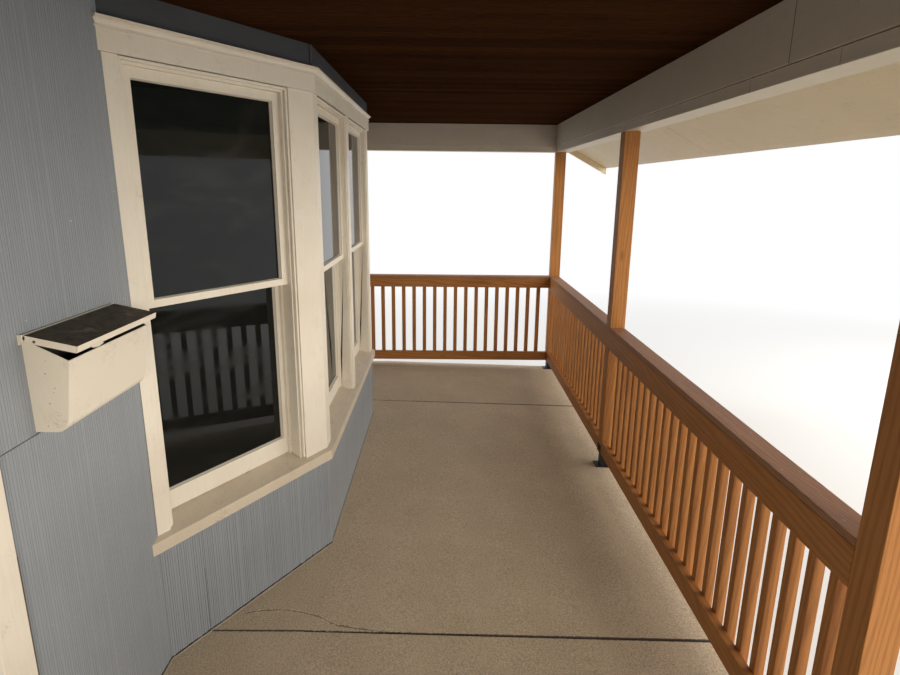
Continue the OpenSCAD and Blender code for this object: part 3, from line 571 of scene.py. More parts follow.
# %% Seams of the soffit
PANEL_W, PANEL_X, SOFFIT_INNER_Y = 2.08, 1.25, -1.222
net = PAINTED["soffit_cream"]
place = net.coordinates()
at_x, at_y, at_z = net.axes(place)
jagged = net.jitter(place, 0.0006, 90.0, 2.0)
to_seam = net.plus(net.maths("PINGPONG", net.minus(at_x, PANEL_X), PANEL_W / 2), jagged)
to_beam = net.plus(net.minus(SOFFIT_INNER_Y, at_y), jagged)
beside_beam = net.times(net.spread(to_beam, 0.005, 0.003), 0.6)
net.lay_over(net.either(net.spread(to_seam, 0.0022, 0.0012), beside_beam), (0.17, 0.13, 0.085))
print("soffit panels of", PANEL_W, "m")

# %% [markdown]
# ## Concrete
# The slab is trowelled concrete, warm grey brown. Close up it is a scatter of
# sand grains, further off it shows slow stains and darker tracks. One crack leaves
# the foot of the bay window and runs into the tooled joint: its line is a curve
# of X over Y, and the material darkens and sinks a millimetre either side of it.

# %% Concrete
FINISHES["concrete"], net = new_material("concrete")
place = net.coordinates()
at_x, at_y, at_z = net.axes(place)
grains = net.noise(place, 420.0, 3.0, 0.7)
blotches = net.noise(place, 3.2, 5.0, 0.62)
stains = net.noise(place, 0.9, 4.0, 0.6, 0.4)
pits = net.noise(place, 95.0, 2.0, 0.5)
sand = net.noise(place, 48.0, 4.0, 0.68)
speckle = net.noise(place, 150.0, 3.0, 0.78)
slab_color = net.blend(net.spread(blotches, 0.35, 0.7), (0.575, 0.452, 0.312), (0.475, 0.368, 0.248))
for pattern, low, high, amount, color in (
        (stains, 0.52, 0.72, 0.55, (0.385, 0.295, 0.200)), (sand, 0.50, 0.72, 0.55, (0.36, 0.275, 0.185)),
        (speckle, 0.49, 0.37, 0.62, (0.20, 0.152, 0.108)), (speckle, 0.52, 0.64, 0.58, (0.86, 0.71, 0.50)),
        (grains, 0.40, 0.66, 0.40, (0.76, 0.625, 0.455)), (grains, 0.46, 0.34, 0.45, (0.20, 0.155, 0.115)),
        (pits, 0.69, 0.75, 0.7, (0.16, 0.12, 0.09))):
    slab_color = net.blend(net.spread(pattern, low, high, 0.0, amount), slab_color, color)
net.join_all(net.nodes[SHADER], {
    "Base Color": slab_color, "Roughness": net.spread(blotches, 0.3, 0.7, 0.66, 0.84)})
print("concrete of", len(net.nodes), "nodes")

# %% The crack in the slab
CRACK = ((0.157, -0.322), (0.259, -0.312), (0.421, -0.285), (0.511, -0.239), (0.596, -0.210), (0.707, -0.195),
         (0.840, -0.219))
LOW_Y, HIGH_Y = CRACK[0][0], CRACK[-1][0]
LOW_X, HIGH_X = -0.35, -0.15
line = net.new("FloatCurve")
curve = line.mapping.curves[0]
stops = [((y - LOW_Y) / (HIGH_Y - LOW_Y), (x - LOW_X) / (HIGH_X - LOW_X)) for y, x in CRACK]
curve.points[0].location, curve.points[1].location = stops[0], stops[-1]
for stop in stops[1:-1]:
    curve.points.new(*stop)
line.mapping.update()
net.join(net.spread(at_y, LOW_Y, HIGH_Y), line.inputs["Value"])
crack_x = net.spread(line.outputs[0], 0.0, 1.0, LOW_X, HIGH_X)
away = net.apart(net.plus(at_x, net.jitter(place, 0.009, 60.0, 5.0, 0.7)), crack_x)
in_reach = net.between(at_y, LOW_Y, HIGH_Y)
crack = net.times(net.spread(away, 0.0030, 0.0012), in_reach)
chipped = net.times(net.spread(net.noise(place, 22.0, 3.0), 0.45, 0.58), in_reach)
lips = net.times(net.spread(away, 0.0095, 0.0060), chipped)
net.lay_over(net.times(lips, 0.7), (0.84, 0.70, 0.50))
net.lay_over(net.times(crack, 0.85), (0.09, 0.068, 0.050))
print("crack of", len(CRACK), "points")

# %% Tooled joints and relief of the slab
JOINTS_X, SLAB_FOOT_Z = (-2.403, -0.323, 2.507), 0.194
to_joint = [net.apart(at_x, x) for x in JOINTS_X]
nearest = net.maths("MINIMUM", net.maths("MINIMUM", to_joint[0], to_joint[1]), to_joint[2])
half_joint = net.plus(net.spread(at_y, 0.5, -1.0, 0.0045, 0.0085), net.jitter(place, 0.0015, 70.0, 4.0))
in_slab = net.maths("GREATER_THAN", at_z, SLAB_FOOT_Z)
at_joint = net.times(net.spread(net.minus(nearest, half_joint), 0.0015, 0.0, 0.0, 0.93), in_slab)
net.lay_over(at_joint, (0.045, 0.034, 0.026))
rough_top = net.plus(net.plus(grains, speckle), net.times(blotches, 0.6))
net.bump(net.minus(rough_top, net.times(crack, 2.0)), 0.0016)
print(len(JOINTS_X), "joints; concrete has", len(net.nodes), "nodes")

# %% [markdown]
# ## Varnished ceiling
# The ceiling boards are dark red brown under varnish. Each board reads a little
# different, so a White Noise node takes the number of the board, which is the X
# coordinate divided by the width of two beads and rounded down.

# %% Ceiling varnish
BEAD_PITCH = 0.0413
FINISHES["ceiling_varnish"], net = new_material("ceiling_varnish")
place = net.coordinates()
boards = net.placed(grain_group, {
    **timber((0.058, 0.0235, 0.0092), (0.011, 0.0048, 0.0027), 90.0, 0.2), "Vector": net.mapped(place, turn=ALONG_Y)})
board_number = net.step(net.axes(place)["X"], 2 * BEAD_PITCH)
shade = net.spread(net.lottery("1D", "W", board_number), 0.0, 1.0, 0.0, 0.55)
net.join_all(net.nodes[SHADER], {
    "Base Color": net.blend(shade, boards["Color"], (0.014, 0.0065, 0.0040)),
    "Roughness": net.spread(boards["Rough"], 0.40, 0.62, 0.30, 0.46), "Specular IOR Level": 0.0})
net.bump(boards["Height"], 0.0004)
print("bead pitch", BEAD_PITCH * 1000, "mm")

# %% [markdown]
# ## Asphalt shingles
# Shingles are felt with mineral granules. The granules are a fine noise in three
# greys, and every tab has its own tone. The tab's number comes from the distance
# along the eave and up the slope, which a Mapping node turned by the roof angle
# gives directly.

# %% Shingle granules
ROOF_DEGREES = 28
TAB_WIDTH, EXPOSURE = 0.305, 0.143
FINISHES["shingle_granules"], net = new_material("shingle_granules")
place = net.coordinates()
on_slope = net.axes(net.mapped(place, turn=(-ROOF_DEGREES, 0, 0)))
tab = net.pair(net.step(on_slope["X"], TAB_WIDTH / 2), net.step(on_slope["Y"], EXPOSURE))
granules = net.noise(place, 650.0, 2.0, 0.7)
weather = net.noise(place, 2.0, 4.0, 0.6)
felt = net.blend(net.spread(granules, 0.38, 0.64), (0.030, 0.032, 0.036), (0.135, 0.132, 0.128))
tab_tone = net.spread(net.lottery("2D", "Vector", tab), 0.0, 1.0, 0.0, 0.42)
felt = net.blend(tab_tone, felt, (0.045, 0.043, 0.045))
felt = net.blend(net.spread(weather, 0.50, 0.78, 0.0, 0.45), felt, (0.13, 0.115, 0.10))
net.join_all(net.nodes[SHADER], {"Base Color": felt, "Roughness": net.spread(granules, 0.3, 0.7, 0.82, 0.95)})
net.bump(granules, 0.0012)
print("tabs of", TAB_WIDTH, "m with", EXPOSURE, "m showing")

# %% [markdown]
# ## Glass
# Window glass is given a nearly black colour, which paints in the shade of the dark
# room behind it; it reflects the porch, with faint smears where it has been wiped.

# %% Glass
FINISHES["window_pane"], net = new_material("window_pane")
smear = net.noise(net.mapped(net.coordinates(), (3.0, 3.0, 7.0)), 1.0, 5.0, 0.65, 0.8)
# Painted shade: the near-black base colour stands in for the dark room behind the glass.
net.join_all(net.nodes[SHADER], {
    "Base Color": net.blend(net.spread(smear, 0.5, 0.85), (0.007, 0.009, 0.008), (0.022, 0.022, 0.019)),
    "Roughness": net.spread(smear, 0.45, 0.8, 0.015, 0.16),
    "IOR": 1.52, "Transmission Weight": 0.35, "Specular IOR Level": 0.16})
print(len(FINISHES), "finishes:", sorted(FINISHES))

# %% [markdown]
# ## The mailbox
# The faces inside the box and under the lid are painted dark as the shade in the
# hollow: a face is inside when its direction points back to the middle of the
# hollow. What faces up on the lid is a dark dusty brown, partly dust and partly
# painted shade under the roof. The near corner of the lid is worn to a dark line,
# and a few small holes and specks show on the side.

# %% Marks of the mailbox
SIDE_X, LID_SIDE_X = -1.023, -1.030
SIDE_MARKS = (
    (0.9916, 1.7074, 0.0013), (0.9728, 1.6688, 0.0010), (0.9771, 1.6575, 0.0008), (0.991, 1.627, 0.0013),
    (1.0046, 1.5653, 0.0011), (0.958, 1.578, 0.0008), (0.985, 1.741, 0.0007))
LID_HOLE, LID_ROLL_Y = (1.0019, 1.7921, 0.0030), 1.0262
# The first colour paints the shade inside the box and under the lid, and the worn corner of the lid.
SHADE_AND_WORN_METAL, SPECK = (0.040, 0.033, 0.028), (0.10, 0.07, 0.05)


def dark_dots(net, x, marks):
    """Small round holes or specks at (y, z, radius) on a face at x."""
    place = net.coordinates()
    for y, z, radius in marks:
        to_mark = net.vectors("DISTANCE", place, (x, y, z))["Value"]
        net.lay_over(net.spread(to_mark, radius * 1.5, radius), SPECK)


def painted_inside_shade(net, center, half_width):
    """Painted shade on every face that looks back to the centre of a hollow shape."""
    outward = net.vectors("SUBTRACT", net.coordinates(), center)["Vector"]
    faces_out = net.vectors("DOT_PRODUCT", outward, net.coordinates("Normal"))["Value"]
    between_sides = net.maths("LESS_THAN", net.maths("ABSOLUTE", net.axes(outward)["X"]), half_width)
    net.lay_over(net.times(net.spread(faces_out, 0.0, -0.002), between_sides), SHADE_AND_WORN_METAL)


net = PAINTED["mailbox_enamel"]
dark_dots(net, SIDE_X, SIDE_MARKS)
# Painted shade on the faces inside the box.
painted_inside_shade(net, (-0.818, 0.990, 1.66), 0.2055)
net = PAINTED["lid_enamel"]
place = net.coordinates()
at_x, at_y, at_z = net.axes(place)
# Dust and painted shade: the faces of the lid that look up are a dark dusty brown.
dust_and_shade = net.spread(net.noise(place, 38.0, 5.0, 0.65), 0.38, 0.66)
dust_and_shade = net.blend(dust_and_shade, (0.030, 0.023, 0.016), (0.072, 0.055, 0.039))
on_sheet = net.times(facing(net, (0, 0, 1), 0.80, 0.93), net.spread(at_y, LID_ROLL_Y, LID_ROLL_Y - 0.002))
net.lay_over(net.times(on_sheet, net.spread(net.noise(place, 14.0, 3.0), 0.25, 0.40, 0.80, 0.98)), dust_and_shade)
dark_dots(net, LID_SIDE_X, (LID_HOLE,))
beside_corner = net.spread(at_x, LID_SIDE_X + 0.0022, LID_SIDE_X + 0.0014)
net.lay_over(net.times(net.times(facing(net, (0, -1, 0), 0.5, 0.8), beside_corner), 0.85), SHADE_AND_WORN_METAL)
# Painted shade on the faces under the lid.
painted_inside_shade(net, (-0.818, 0.975, 1.745), 0.2116)
print(len(SIDE_MARKS) + 1, "marks on the mailbox")

# %% [markdown]
# ## Finishes on the CAD nodes
# Every node of the frame gets the finish of its material. A node that a piece of
# this scene stands for later keeps its finish too, so the two match.

# %% Finishes on the CAD nodes
NODE_FINISH = {
    "concrete": ["foundation", "floor_slab"],
    "room_plaster": ["wall_entry_end", "wall_mailbox_side", "wall_far_end", "wall_over_door", "wall_upper"],
    "slate_upright": ["siding_lower", "siding_upper", "bay_apron", "gable_panels"],
    "band_level": ["bay_header"],
    "cream_upright": ["door_frame", "bay_columns", "window_near_side", "window_front_near", "window_front_far",
                      "window_far_side"],
    "cream_level": ["bay_head_trim"],
    "worn_sill": ["bay_sill"],
    "window_pane": ["window_glass"],
    "mailbox_enamel": ["mailbox_body"],
    "lid_enamel": ["mailbox_lid"],
    "cedar_upright": ["post_far", "post_middle", "post_near", "post_entry"],
    "cedar_along_x": ["rail_far_bay", "rail_middle_bay"],
    "cedar_along_y": ["rail_far_end", "rail_near_end"],
    "cap_along_x": ["rail_caps"],
    "black_powder": ["post_bases"],
    "beam_two_tone": ["front_beam", "end_beams"],
    "taupe_level": ["beam_facings"],
    "ceiling_varnish": ["ceiling"],
    "framing_timber": ["roof_framing"],
    "buff_level": ["fascia", "rake_boards"],
    "soffit_cream": ["soffit"],
    "deck_sheathing": ["roof_deck"],
    "shingle_granules": ["roof_shingles"],
    "flashing_grey": ["wall_flashing"],
}
FINISH_OF = {node: finish for finish, nodes in NODE_FINISH.items() for node in nodes}
for node, finish in FINISH_OF.items():
    mesh = NODES[node].data
    if not mesh.materials:
        mesh.materials.append(None)
    for i in range(len(mesh.materials)):
        mesh.materials[i] = FINISHES[finish]
print("dressed", len(FINISH_OF), "of", len(NODES), "nodes")

# %% [markdown]
# ## Tools for modelling
# Operators act on what is selected, so each helper first leaves one piece
# selected and active. A board starts as a cube, is scaled to its size, and gets
# its edges eased with a bevel, because no real board has a razor edge and the
# small round catches the light.

# %% Helpers for selecting and editing
QUARTER = math.radians(90)


def nothing():
    """Leaves nothing selected, in object mode, ready for a new primitive."""
    if bpy.context.object and bpy.context.object.mode != "OBJECT":
        bpy.ops.object.mode_set(mode="OBJECT")
    bpy.ops.object.select_all(action="DESELECT")


def only(piece):
    """Leaves one piece selected and active, in object mode."""
    nothing()
    piece.select_set(True)
    bpy.context.view_layer.objects.active = piece
    return piece


def open_up(piece):
    """Puts a piece in edit mode with all of it selected."""
    only(piece)
    bpy.ops.object.mode_set(mode="EDIT")
    bpy.ops.mesh.select_all(action="SELECT")


def close_up():
    """Goes back to object mode."""
    bpy.ops.object.mode_set(mode="OBJECT")


def bake_place(piece):
    """Puts the piece's place, turn and scale into its mesh."""
    only(piece)
    bpy.ops.object.transform_apply(location=True, rotation=True, scale=True)
    return piece


def put(piece, place, turn_deg=0):
    """Turns a piece about the vertical and moves it, in its mesh."""
    piece.rotation_euler = (0, 0, math.radians(turn_deg))
    piece.location = place
    return bake_place(piece)


def with_modifier(piece, kind, **settings):
    """Applies a modifier with its settings."""
    modifier = piece.modifiers.new(kind.lower(), kind)
    for label, value in settings.items():
        setattr(modifier, label, value)
    only(piece)
    bpy.ops.object.modifier_apply(modifier=modifier.name)
    return piece


# %% Helpers for shapes
def board(lo, hi, ease=0.003, segments=2):
    """A board between two corners, with eased edges."""
    lo, hi = Vector(lo), Vector(hi)
    nothing()
    bpy.ops.mesh.primitive_cube_add(size=1, location=(lo + hi) / 2)
    piece = bpy.context.object
    piece.scale = hi - lo
    open_up(bake_place(piece))
    bpy.ops.mesh.bevel(offset=ease, segments=segments, affect="EDGES")
    close_up()
    return piece


def flat_sheet(size, middle, columns=1, rows=1, upright=True):
    """A sheet of columns by rows of faces, upright along X or lying flat."""
    nothing()
    bpy.ops.mesh.primitive_grid_add(x_subdivisions=columns, y_subdivisions=rows, size=1, location=middle)
    sheet = bpy.context.object
    sheet.rotation_euler = (QUARTER if upright else 0, 0, 0)
    sheet.scale = (*size, 1)
    return bake_place(sheet)


def push_columns(sheet, spacing, columns, offset):
    """Moves the columns of points with these numbers by an offset."""
    for element in (*sheet.data.polygons, *sheet.data.edges):
        element.select = False
    for point in sheet.data.vertices:
        point.select = round(point.co.x / spacing) in columns
    bpy.ops.object.mode_set(mode="EDIT")
    bpy.ops.mesh.select_mode(type="VERT")
    bpy.ops.transform.translate(value=offset)
    close_up()


def thicken(sheet, thickness, offset=-1):
    """Gives a sheet a thickness with Solidify."""
    return with_modifier(sheet, "SOLIDIFY", thickness=thickness, offset=offset)


def repeated(piece, count, step, weld=False):
    """The piece arrayed count times by a step, as one mesh."""
    return with_modifier(
        piece, "ARRAY", use_relative_offset=False, use_constant_offset=True, constant_offset_displace=step,
        count=count, use_merge_vertices=weld, merge_threshold=0.0002)


def cut_away(piece, point, normal):
    """Cuts off what lies beyond a plane and closes the cut."""
    open_up(piece)
    bpy.ops.mesh.bisect(plane_co=point, plane_no=normal, clear_outer=True, use_fill=True)
    close_up()


print("shapes: board, flat_sheet, push_columns, thicken, repeated, cut_away")

# %% Helpers for copies and finished pieces
def twin(piece, offset):
    """A copy with its own mesh, moved by an offset."""
    copy = piece.copy()
    copy.data = piece.data.copy()
    bpy.context.scene.collection.objects.link(copy)
    copy.data.transform(Matrix.Translation(Vector(offset)))
    return copy


def joined(pieces):
    """One object out of several."""
    nothing()
    for piece in pieces:
        piece.select_set(True)
    bpy.context.view_layer.objects.active = pieces[0]
    if len(pieces) > 1:
        bpy.ops.object.join()
    return bpy.context.view_layer.objects.active


def hand_over(piece, name, finish, body="porch", stands_for=(), smooth=True):
    """Names a finished piece, gives it its finish, and lets it ride on a body."""
    only(piece)
    if smooth:
        bpy.ops.object.shade_smooth_by_angle(angle=math.radians(32))
        with_modifier(piece, "WEIGHTED_NORMAL", keep_sharp=True, weight=100)
    piece.name = piece.data.name = name
    piece.data.materials.clear()
    piece.data.materials.append(FINISHES[finish])
    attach(piece, body)
    if stands_for:
        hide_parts(*stands_for)


def eased_node(node, ease, body="porch", segments=2):
    """A copy of a CAD node with its corners merged and its edges eased, standing for the node."""
    piece = bpy.data.objects.new(node + "_eased", NODES[node].data.copy())
    bpy.context.scene.collection.objects.link(piece)
    only(piece)
    bpy.ops.mesh.customdata_custom_splitnormals_clear()
    open_up(piece)
    bpy.ops.mesh.remove_doubles(threshold=0.00002)
    bpy.ops.mesh.dissolve_limited(angle_limit=math.radians(0.3))
    close_up()
    with_modifier(
        piece, "BEVEL", width=ease, segments=segments, limit_method="ANGLE", angle_limit=math.radians(25))
    hand_over(piece, node + "_eased", FINISH_OF[node], body, (node,))


print("helpers ready")

# %% [markdown]
# ## Eased woodwork
# Most of the painted woodwork already has its right shape. A copy of each node,
# merged into whole faces, gets a small round on every edge and stands for it.

# %% Ease the edges of the woodwork
for node, ease in (
        ("floor_slab", 0.004), ("foundation", 0.006), ("door_frame", 0.0015), ("bay_columns", 0.0015),
        ("bay_head_trim", 0.0008), ("bay_sill", 0.003), ("window_near_side", 0.001),
        ("window_front_near", 0.001), ("window_front_far", 0.001), ("window_far_side", 0.001),
        ("front_beam", 0.003), ("end_beams", 0.003), ("beam_facings", 0.0012), ("fascia", 0.002),
        ("rake_boards", 0.002), ("post_bases", 0.0008)):
    eased_node(node, ease)
eased_node("mailbox_body", 0.0004, segments=1)
eased_node("mailbox_lid", 0.0004, body="lid", segments=1)

# %% [markdown]
# ## Posts and rails
# Each post is one square cedar timber. A rail bay has a deep top board, a bottom
# board, and square balusters on their outer side. One baluster is made and an
# Array modifier repeats it at the pitch that fills the bay evenly.

# %% Posts
POST_EASE = 0.004
POSTS = ("far", "middle", "near", "entry")
for name in POSTS:
    hand_over(board(*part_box("post_" + name), POST_EASE), "cedar_post_" + name, "cedar_upright",
              stands_for=("post_" + name,))
INNER_FACE_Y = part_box("post_far")[1].y
print(len(POSTS), "posts with their inner face at", round(INNER_FACE_Y, 3))

# %% Rails
BOARD_T, BALUSTER, LARGEST_PITCH = 0.038, 0.036, 0.107
TOP_BOARD, END_TOP_BOARD, LOW_BOARD = 0.120, 0.092, 0.089
RAIL_EASE, BALUSTER_EASE, STRAP_ROOM = 0.0035, 0.0025, 0.0035


def even_pitch(length):
    """How many balusters fill a length, and their pitch."""
    spaces = math.ceil(length / LARGEST_PITCH)
    return spaces - 1, length / spaces


def finish_rail(node, boards, stick, count, step):
    """Repeats the first baluster and hands over the boards and the balusters of a rail."""
    repeated(stick, count, step)
    hand_over(joined(boards), node + "_boards", FINISH_OF[node], stands_for=(node,))
    hand_over(stick, node + "_balusters", "cedar_upright")
    print(node, "has", count, "balusters")


def street_rail(node):
    """Top board, bottom board and balusters of a rail bay along the street."""
    lo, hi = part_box(node)
    boards = [
        board((lo.x, hi.y - BOARD_T, hi.z - TOP_BOARD), hi, RAIL_EASE),
        board((lo.x, hi.y - BOARD_T, lo.z), (hi.x, hi.y, lo.z + LOW_BOARD), RAIL_EASE)]
    count, pitch = even_pitch(hi.x - lo.x)
    x = lo.x + pitch
    stick = board((x - BALUSTER / 2, lo.y, lo.z), (x + BALUSTER / 2, lo.y + BALUSTER, hi.z), BALUSTER_EASE)
    finish_rail(node, boards, stick, count, (pitch, 0, 0))


def end_rail(node, outward):
    """A rail across an end; outward is 1 at the far end and -1 at the entry end."""
    lo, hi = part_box(node)
    inner = lo.x if outward > 0 else hi.x
    outer = inner + outward * BOARD_T
    x_lo, x_hi = sorted((inner, outer))
    boards = [
        board((x_lo, lo.y, hi.z - END_TOP_BOARD), (x_hi, hi.y, hi.z), RAIL_EASE),
        board((x_lo, INNER_FACE_Y + STRAP_ROOM, lo.z), (x_hi, hi.y, lo.z + LOW_BOARD), RAIL_EASE)]
    count, pitch = even_pitch(hi.y - INNER_FACE_Y)
    y = INNER_FACE_Y + pitch
    s_lo, s_hi = sorted((outer, outer + outward * BALUSTER))
    stick = board((s_lo, y - BALUSTER / 2, lo.z), (s_hi, y + BALUSTER / 2, hi.z), BALUSTER_EASE)
    finish_rail(node, boards, stick, count, (0, pitch, 0))


street_rail("rail_far_bay")
street_rail("rail_middle_bay")
end_rail("rail_far_end", 1)
end_rail("rail_near_end", -1)

# %% [markdown]
# ## Caps and their screws
# The flat caps have weathered to pinkish brown. Pairs of deck screws hold them
# down. A screw head is a short cylinder whose top is inset and pushed in for the
# driver recess, made once and copied.

# %% Rail caps
CAP_W, CAP_EASE = 0.095, 0.004
CAP_LO, CAP_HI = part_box("rail_caps")
STREET_BOXES = [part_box("rail_far_bay"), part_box("rail_middle_bay")]
end_lo, end_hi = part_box("rail_far_end")
entry_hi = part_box("rail_near_end")[1]
street_caps = joined([
    board((low.x, INNER_FACE_Y - CAP_W, CAP_LO.z), (high.x, INNER_FACE_Y, CAP_HI.z), CAP_EASE)
    for low, high in STREET_BOXES])
hand_over(street_caps, "caps_along_street", "cap_along_x", stands_for=("rail_caps",))
end_caps = joined([
    board((end_lo.x, INNER_FACE_Y, CAP_LO.z), (end_lo.x + CAP_W, end_hi.y, CAP_HI.z), CAP_EASE),
    board((entry_hi.x - CAP_W, INNER_FACE_Y, CAP_LO.z), (entry_hi.x, entry_hi.y, CAP_HI.z), CAP_EASE)])
hand_over(end_caps, "caps_across_ends", "cap_along_y")
print("caps", round(CAP_W * 1000), "mm wide at", round(CAP_HI.z, 3), "m")

# %% Screws in the caps
SCREW_R, SCREW_DEPTH, SCREW_PROUD, RECESS = 0.0042, 0.0016, 0.0002, 0.001
SCREW_PITCH, SCREW_INSET = 0.30, 0.022
FIRST_ON_STREET, FIRST_ON_END = 0.09, 0.10


def screw_head():
    """A flat screw head with a recess, its top at the origin, facing up."""
    nothing()
    bpy.ops.mesh.primitive_cylinder_add(
        vertices=12, radius=SCREW_R, depth=SCREW_DEPTH, location=(0, 0, SCREW_PROUD - SCREW_DEPTH / 2))
    head = bake_place(bpy.context.object)
    open_up(head)
    bpy.ops.mesh.select_all(action="DESELECT")
    close_up()
    for face in head.data.polygons:
        face.select = face.normal.z > 0.9
    bpy.ops.object.mode_set(mode="EDIT")
    bpy.ops.mesh.inset(thickness=SCREW_R * 0.55)
    bpy.ops.mesh.extrude_region_shrink_fatten(TRANSFORM_OT_shrink_fatten={"value": -RECESS})
    close_up()
    return head


random.seed(7)
head = screw_head()
screws = []
for low, high in STREET_BOXES:
    x = low.x + FIRST_ON_STREET
    while x < high.x:
        for y in (INNER_FACE_Y - SCREW_INSET, INNER_FACE_Y - CAP_W + SCREW_INSET):
            screws.append(twin(head, (x + random.uniform(-0.02, 0.02), y + random.uniform(-0.005, 0.005), CAP_HI.z)))
        x += SCREW_PITCH
for x_in, sign in ((end_lo.x, 1), (entry_hi.x, -1)):
    y = INNER_FACE_Y + FIRST_ON_END
    while y < end_hi.y:
        for inset in (SCREW_INSET, CAP_W - SCREW_INSET):
            screws.append(twin(head, (x_in + sign * inset, y + random.uniform(-0.02, 0.02), CAP_HI.z)))
        y += SCREW_PITCH
bpy.data.objects.remove(head)
print(len(screws), "screws in the caps")
hand_over(joined(screws), "cap_screws", "screw_steel")

# %% [markdown]
# ## Combed siding
# The siding is a sheet whose face is combed from top to bottom with fine uneven
# grooves. A grid stands for a strip of it: some of its columns of points are
# picked at seeded distances and pushed in by one of three depths, which leaves
# flats with V grooves between them. The flats are dissolved to single faces, the
# Array modifier repeats the strip along the wall, a cut brings it to length and
# Solidify gives it its thickness. At the lap the upper sheets leave a thin gap.

# %% A strip of combed siding
STRIP_W, STRIP_COLUMNS = 0.36, 240
SPACING = STRIP_W / STRIP_COLUMNS
GROOVE_DEPTHS = (0.0008, 0.0012, 0.0017)
GROOVE_STEPS = (5, 6, 6, 7, 8, 9)
random.seed(21)
GROOVES = {depth: [] for depth in GROOVE_DEPTHS}
column = 4
while column < STRIP_COLUMNS - 3:
    GROOVES[random.choice(GROOVE_DEPTHS)].append(column)
    column += random.choice(GROOVE_STEPS)
print(sum(len(g) for g in GROOVES.values()), "grooves in a strip of", STRIP_W, "m")


def comb_sheet(length, height, thick):
    """A combed sheet along +X from the origin, its ridges at Y 0, its grooves and back towards +Y."""
    sheet = flat_sheet((STRIP_W, height), (STRIP_W / 2, 0, height / 2), STRIP_COLUMNS)
    every_groove = set(sum(GROOVES.values(), []))
    pushed = sheet.data.attributes.new("groove", "FLOAT", "POINT")
    for point in sheet.data.vertices:
        pushed.data[point.index].value = float(round(point.co.x / SPACING) in every_groove)
    for depth, chosen in GROOVES.items():
        push_columns(sheet, SPACING, chosen, (0, depth, 0))
    open_up(sheet)
    bpy.ops.mesh.dissolve_limited(angle_limit=math.radians(1))
    close_up()
    repeated(sheet, math.ceil(length / STRIP_W), (STRIP_W, 0, 0), weld=True)
    if sheet.dimensions.x > length + 1e-5:
        cut_away(sheet, (length, 0, 0), (1, 0, 0))
    return thicken(sheet, thick)


# %% Siding on the house wall
low_lo, low_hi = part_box("siding_lower")
top_lo, top_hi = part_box("siding_upper")
door_lo, door_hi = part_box("door_frame")
apron_lo, apron_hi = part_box("bay_apron")
ceil_lo, ceil_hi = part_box("ceiling")
flash_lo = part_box("wall_flashing")[0]
BAY_LEFT, BAY_RIGHT = apron_lo.x, apron_hi.x
SHEET, LAP_GAP = 0.010, 0.005
lower_sheets = [
    put(comb_sheet(x1 - x0, low_hi.z - low_lo.z, SHEET), (x0, low_lo.y, low_lo.z))
    for x0, x1 in ((low_lo.x, door_lo.x), (door_hi.x, BAY_LEFT), (BAY_RIGHT, low_hi.x))]
hand_over(joined(lower_sheets), "siding_below_lap", "slate_upright", stands_for=("siding_lower",),
          smooth=False)
upper_sheets = [
    put(comb_sheet(x1 - x0, ceil_lo.z - z0 - LAP_GAP, SHEET), (x0, top_lo.y, z0 + LAP_GAP))
    for x0, x1, z0 in (
        (top_lo.x, door_lo.x, top_lo.z), (door_lo.x, door_hi.x, door_hi.z),
        (door_hi.x, BAY_LEFT, top_lo.z), (BAY_RIGHT, top_hi.x, top_lo.z))]
upper_sheets.append(put(
    comb_sheet(top_hi.x - top_lo.x, top_hi.z - flash_lo.z, SHEET), (top_lo.x, low_lo.y, flash_lo.z)))
hand_over(joined(upper_sheets), "siding_above_lap", "slate_upright", stands_for=("siding_upper",),
          smooth=False)
print("siding sheets:", len(lower_sheets) + len(upper_sheets))

# %% [markdown]
# ## The sides of the bay
# The bay has three faces: one square to the walk and two canted by 31 degrees.
# Everything that is fitted to it, from the siding of its apron to the glazing
# beads, is made flat on the X axis and then turned and moved to its face.

# %% Faces of the bay
BAY_ANGLE = 31
bay_depth = low_lo.y - apron_lo.y
side_run = bay_depth / math.tan(math.radians(BAY_ANGLE))
SIDE_LENGTH = bay_depth / math.sin(math.radians(BAY_ANGLE))
FRONT_LEFT, FRONT_RIGHT = BAY_LEFT + side_run, BAY_RIGHT - side_run
FRONT_LENGTH = FRONT_RIGHT - FRONT_LEFT
NEAR, FRONT, FAR = FACES = (
    ((BAY_LEFT, low_lo.y), -BAY_ANGLE, SIDE_LENGTH),
    ((FRONT_LEFT, apron_lo.y), 0, FRONT_LENGTH),
    ((FRONT_RIGHT, apron_lo.y), BAY_ANGLE, SIDE_LENGTH))
print("bay faces:", [round(length, 3) for _, _, length in FACES])


def on_face(piece, face, height=0.0):
    """Moves a piece made on the X axis to a face of the bay."""
    (x, y), turn, _ = face
    return put(piece, (x, y, height), turn)


# %% Siding of the apron
APRON_SHEET, APRON_LIFT = 0.004, 0.002
apron_height = apron_hi.z - apron_lo.z
sheets = []
for face in FACES:
    sheet = comb_sheet(face[2], apron_height, APRON_SHEET)
    sheet.data.transform(Matrix.Translation((0, -APRON_LIFT, 0)))
    sheets.append(on_face(sheet, face, apron_lo.z))
hand_over(joined(sheets), "apron_siding", "slate_upright", smooth=False)
print("apron", round(apron_height, 3), "m high")

# %% [markdown]
# ## Corner beads
# Where two sheets meet at a corner of the apron, and again on the band above the
# windows, a narrow bead covers the joint. It reads as a double line. Each bead is
# two eased slats, one on either face.

# %% Corner beads of the apron and the band
BEAD_W, BEAD_T, BEAD_SUNK = 0.011, 0.0045, 0.001


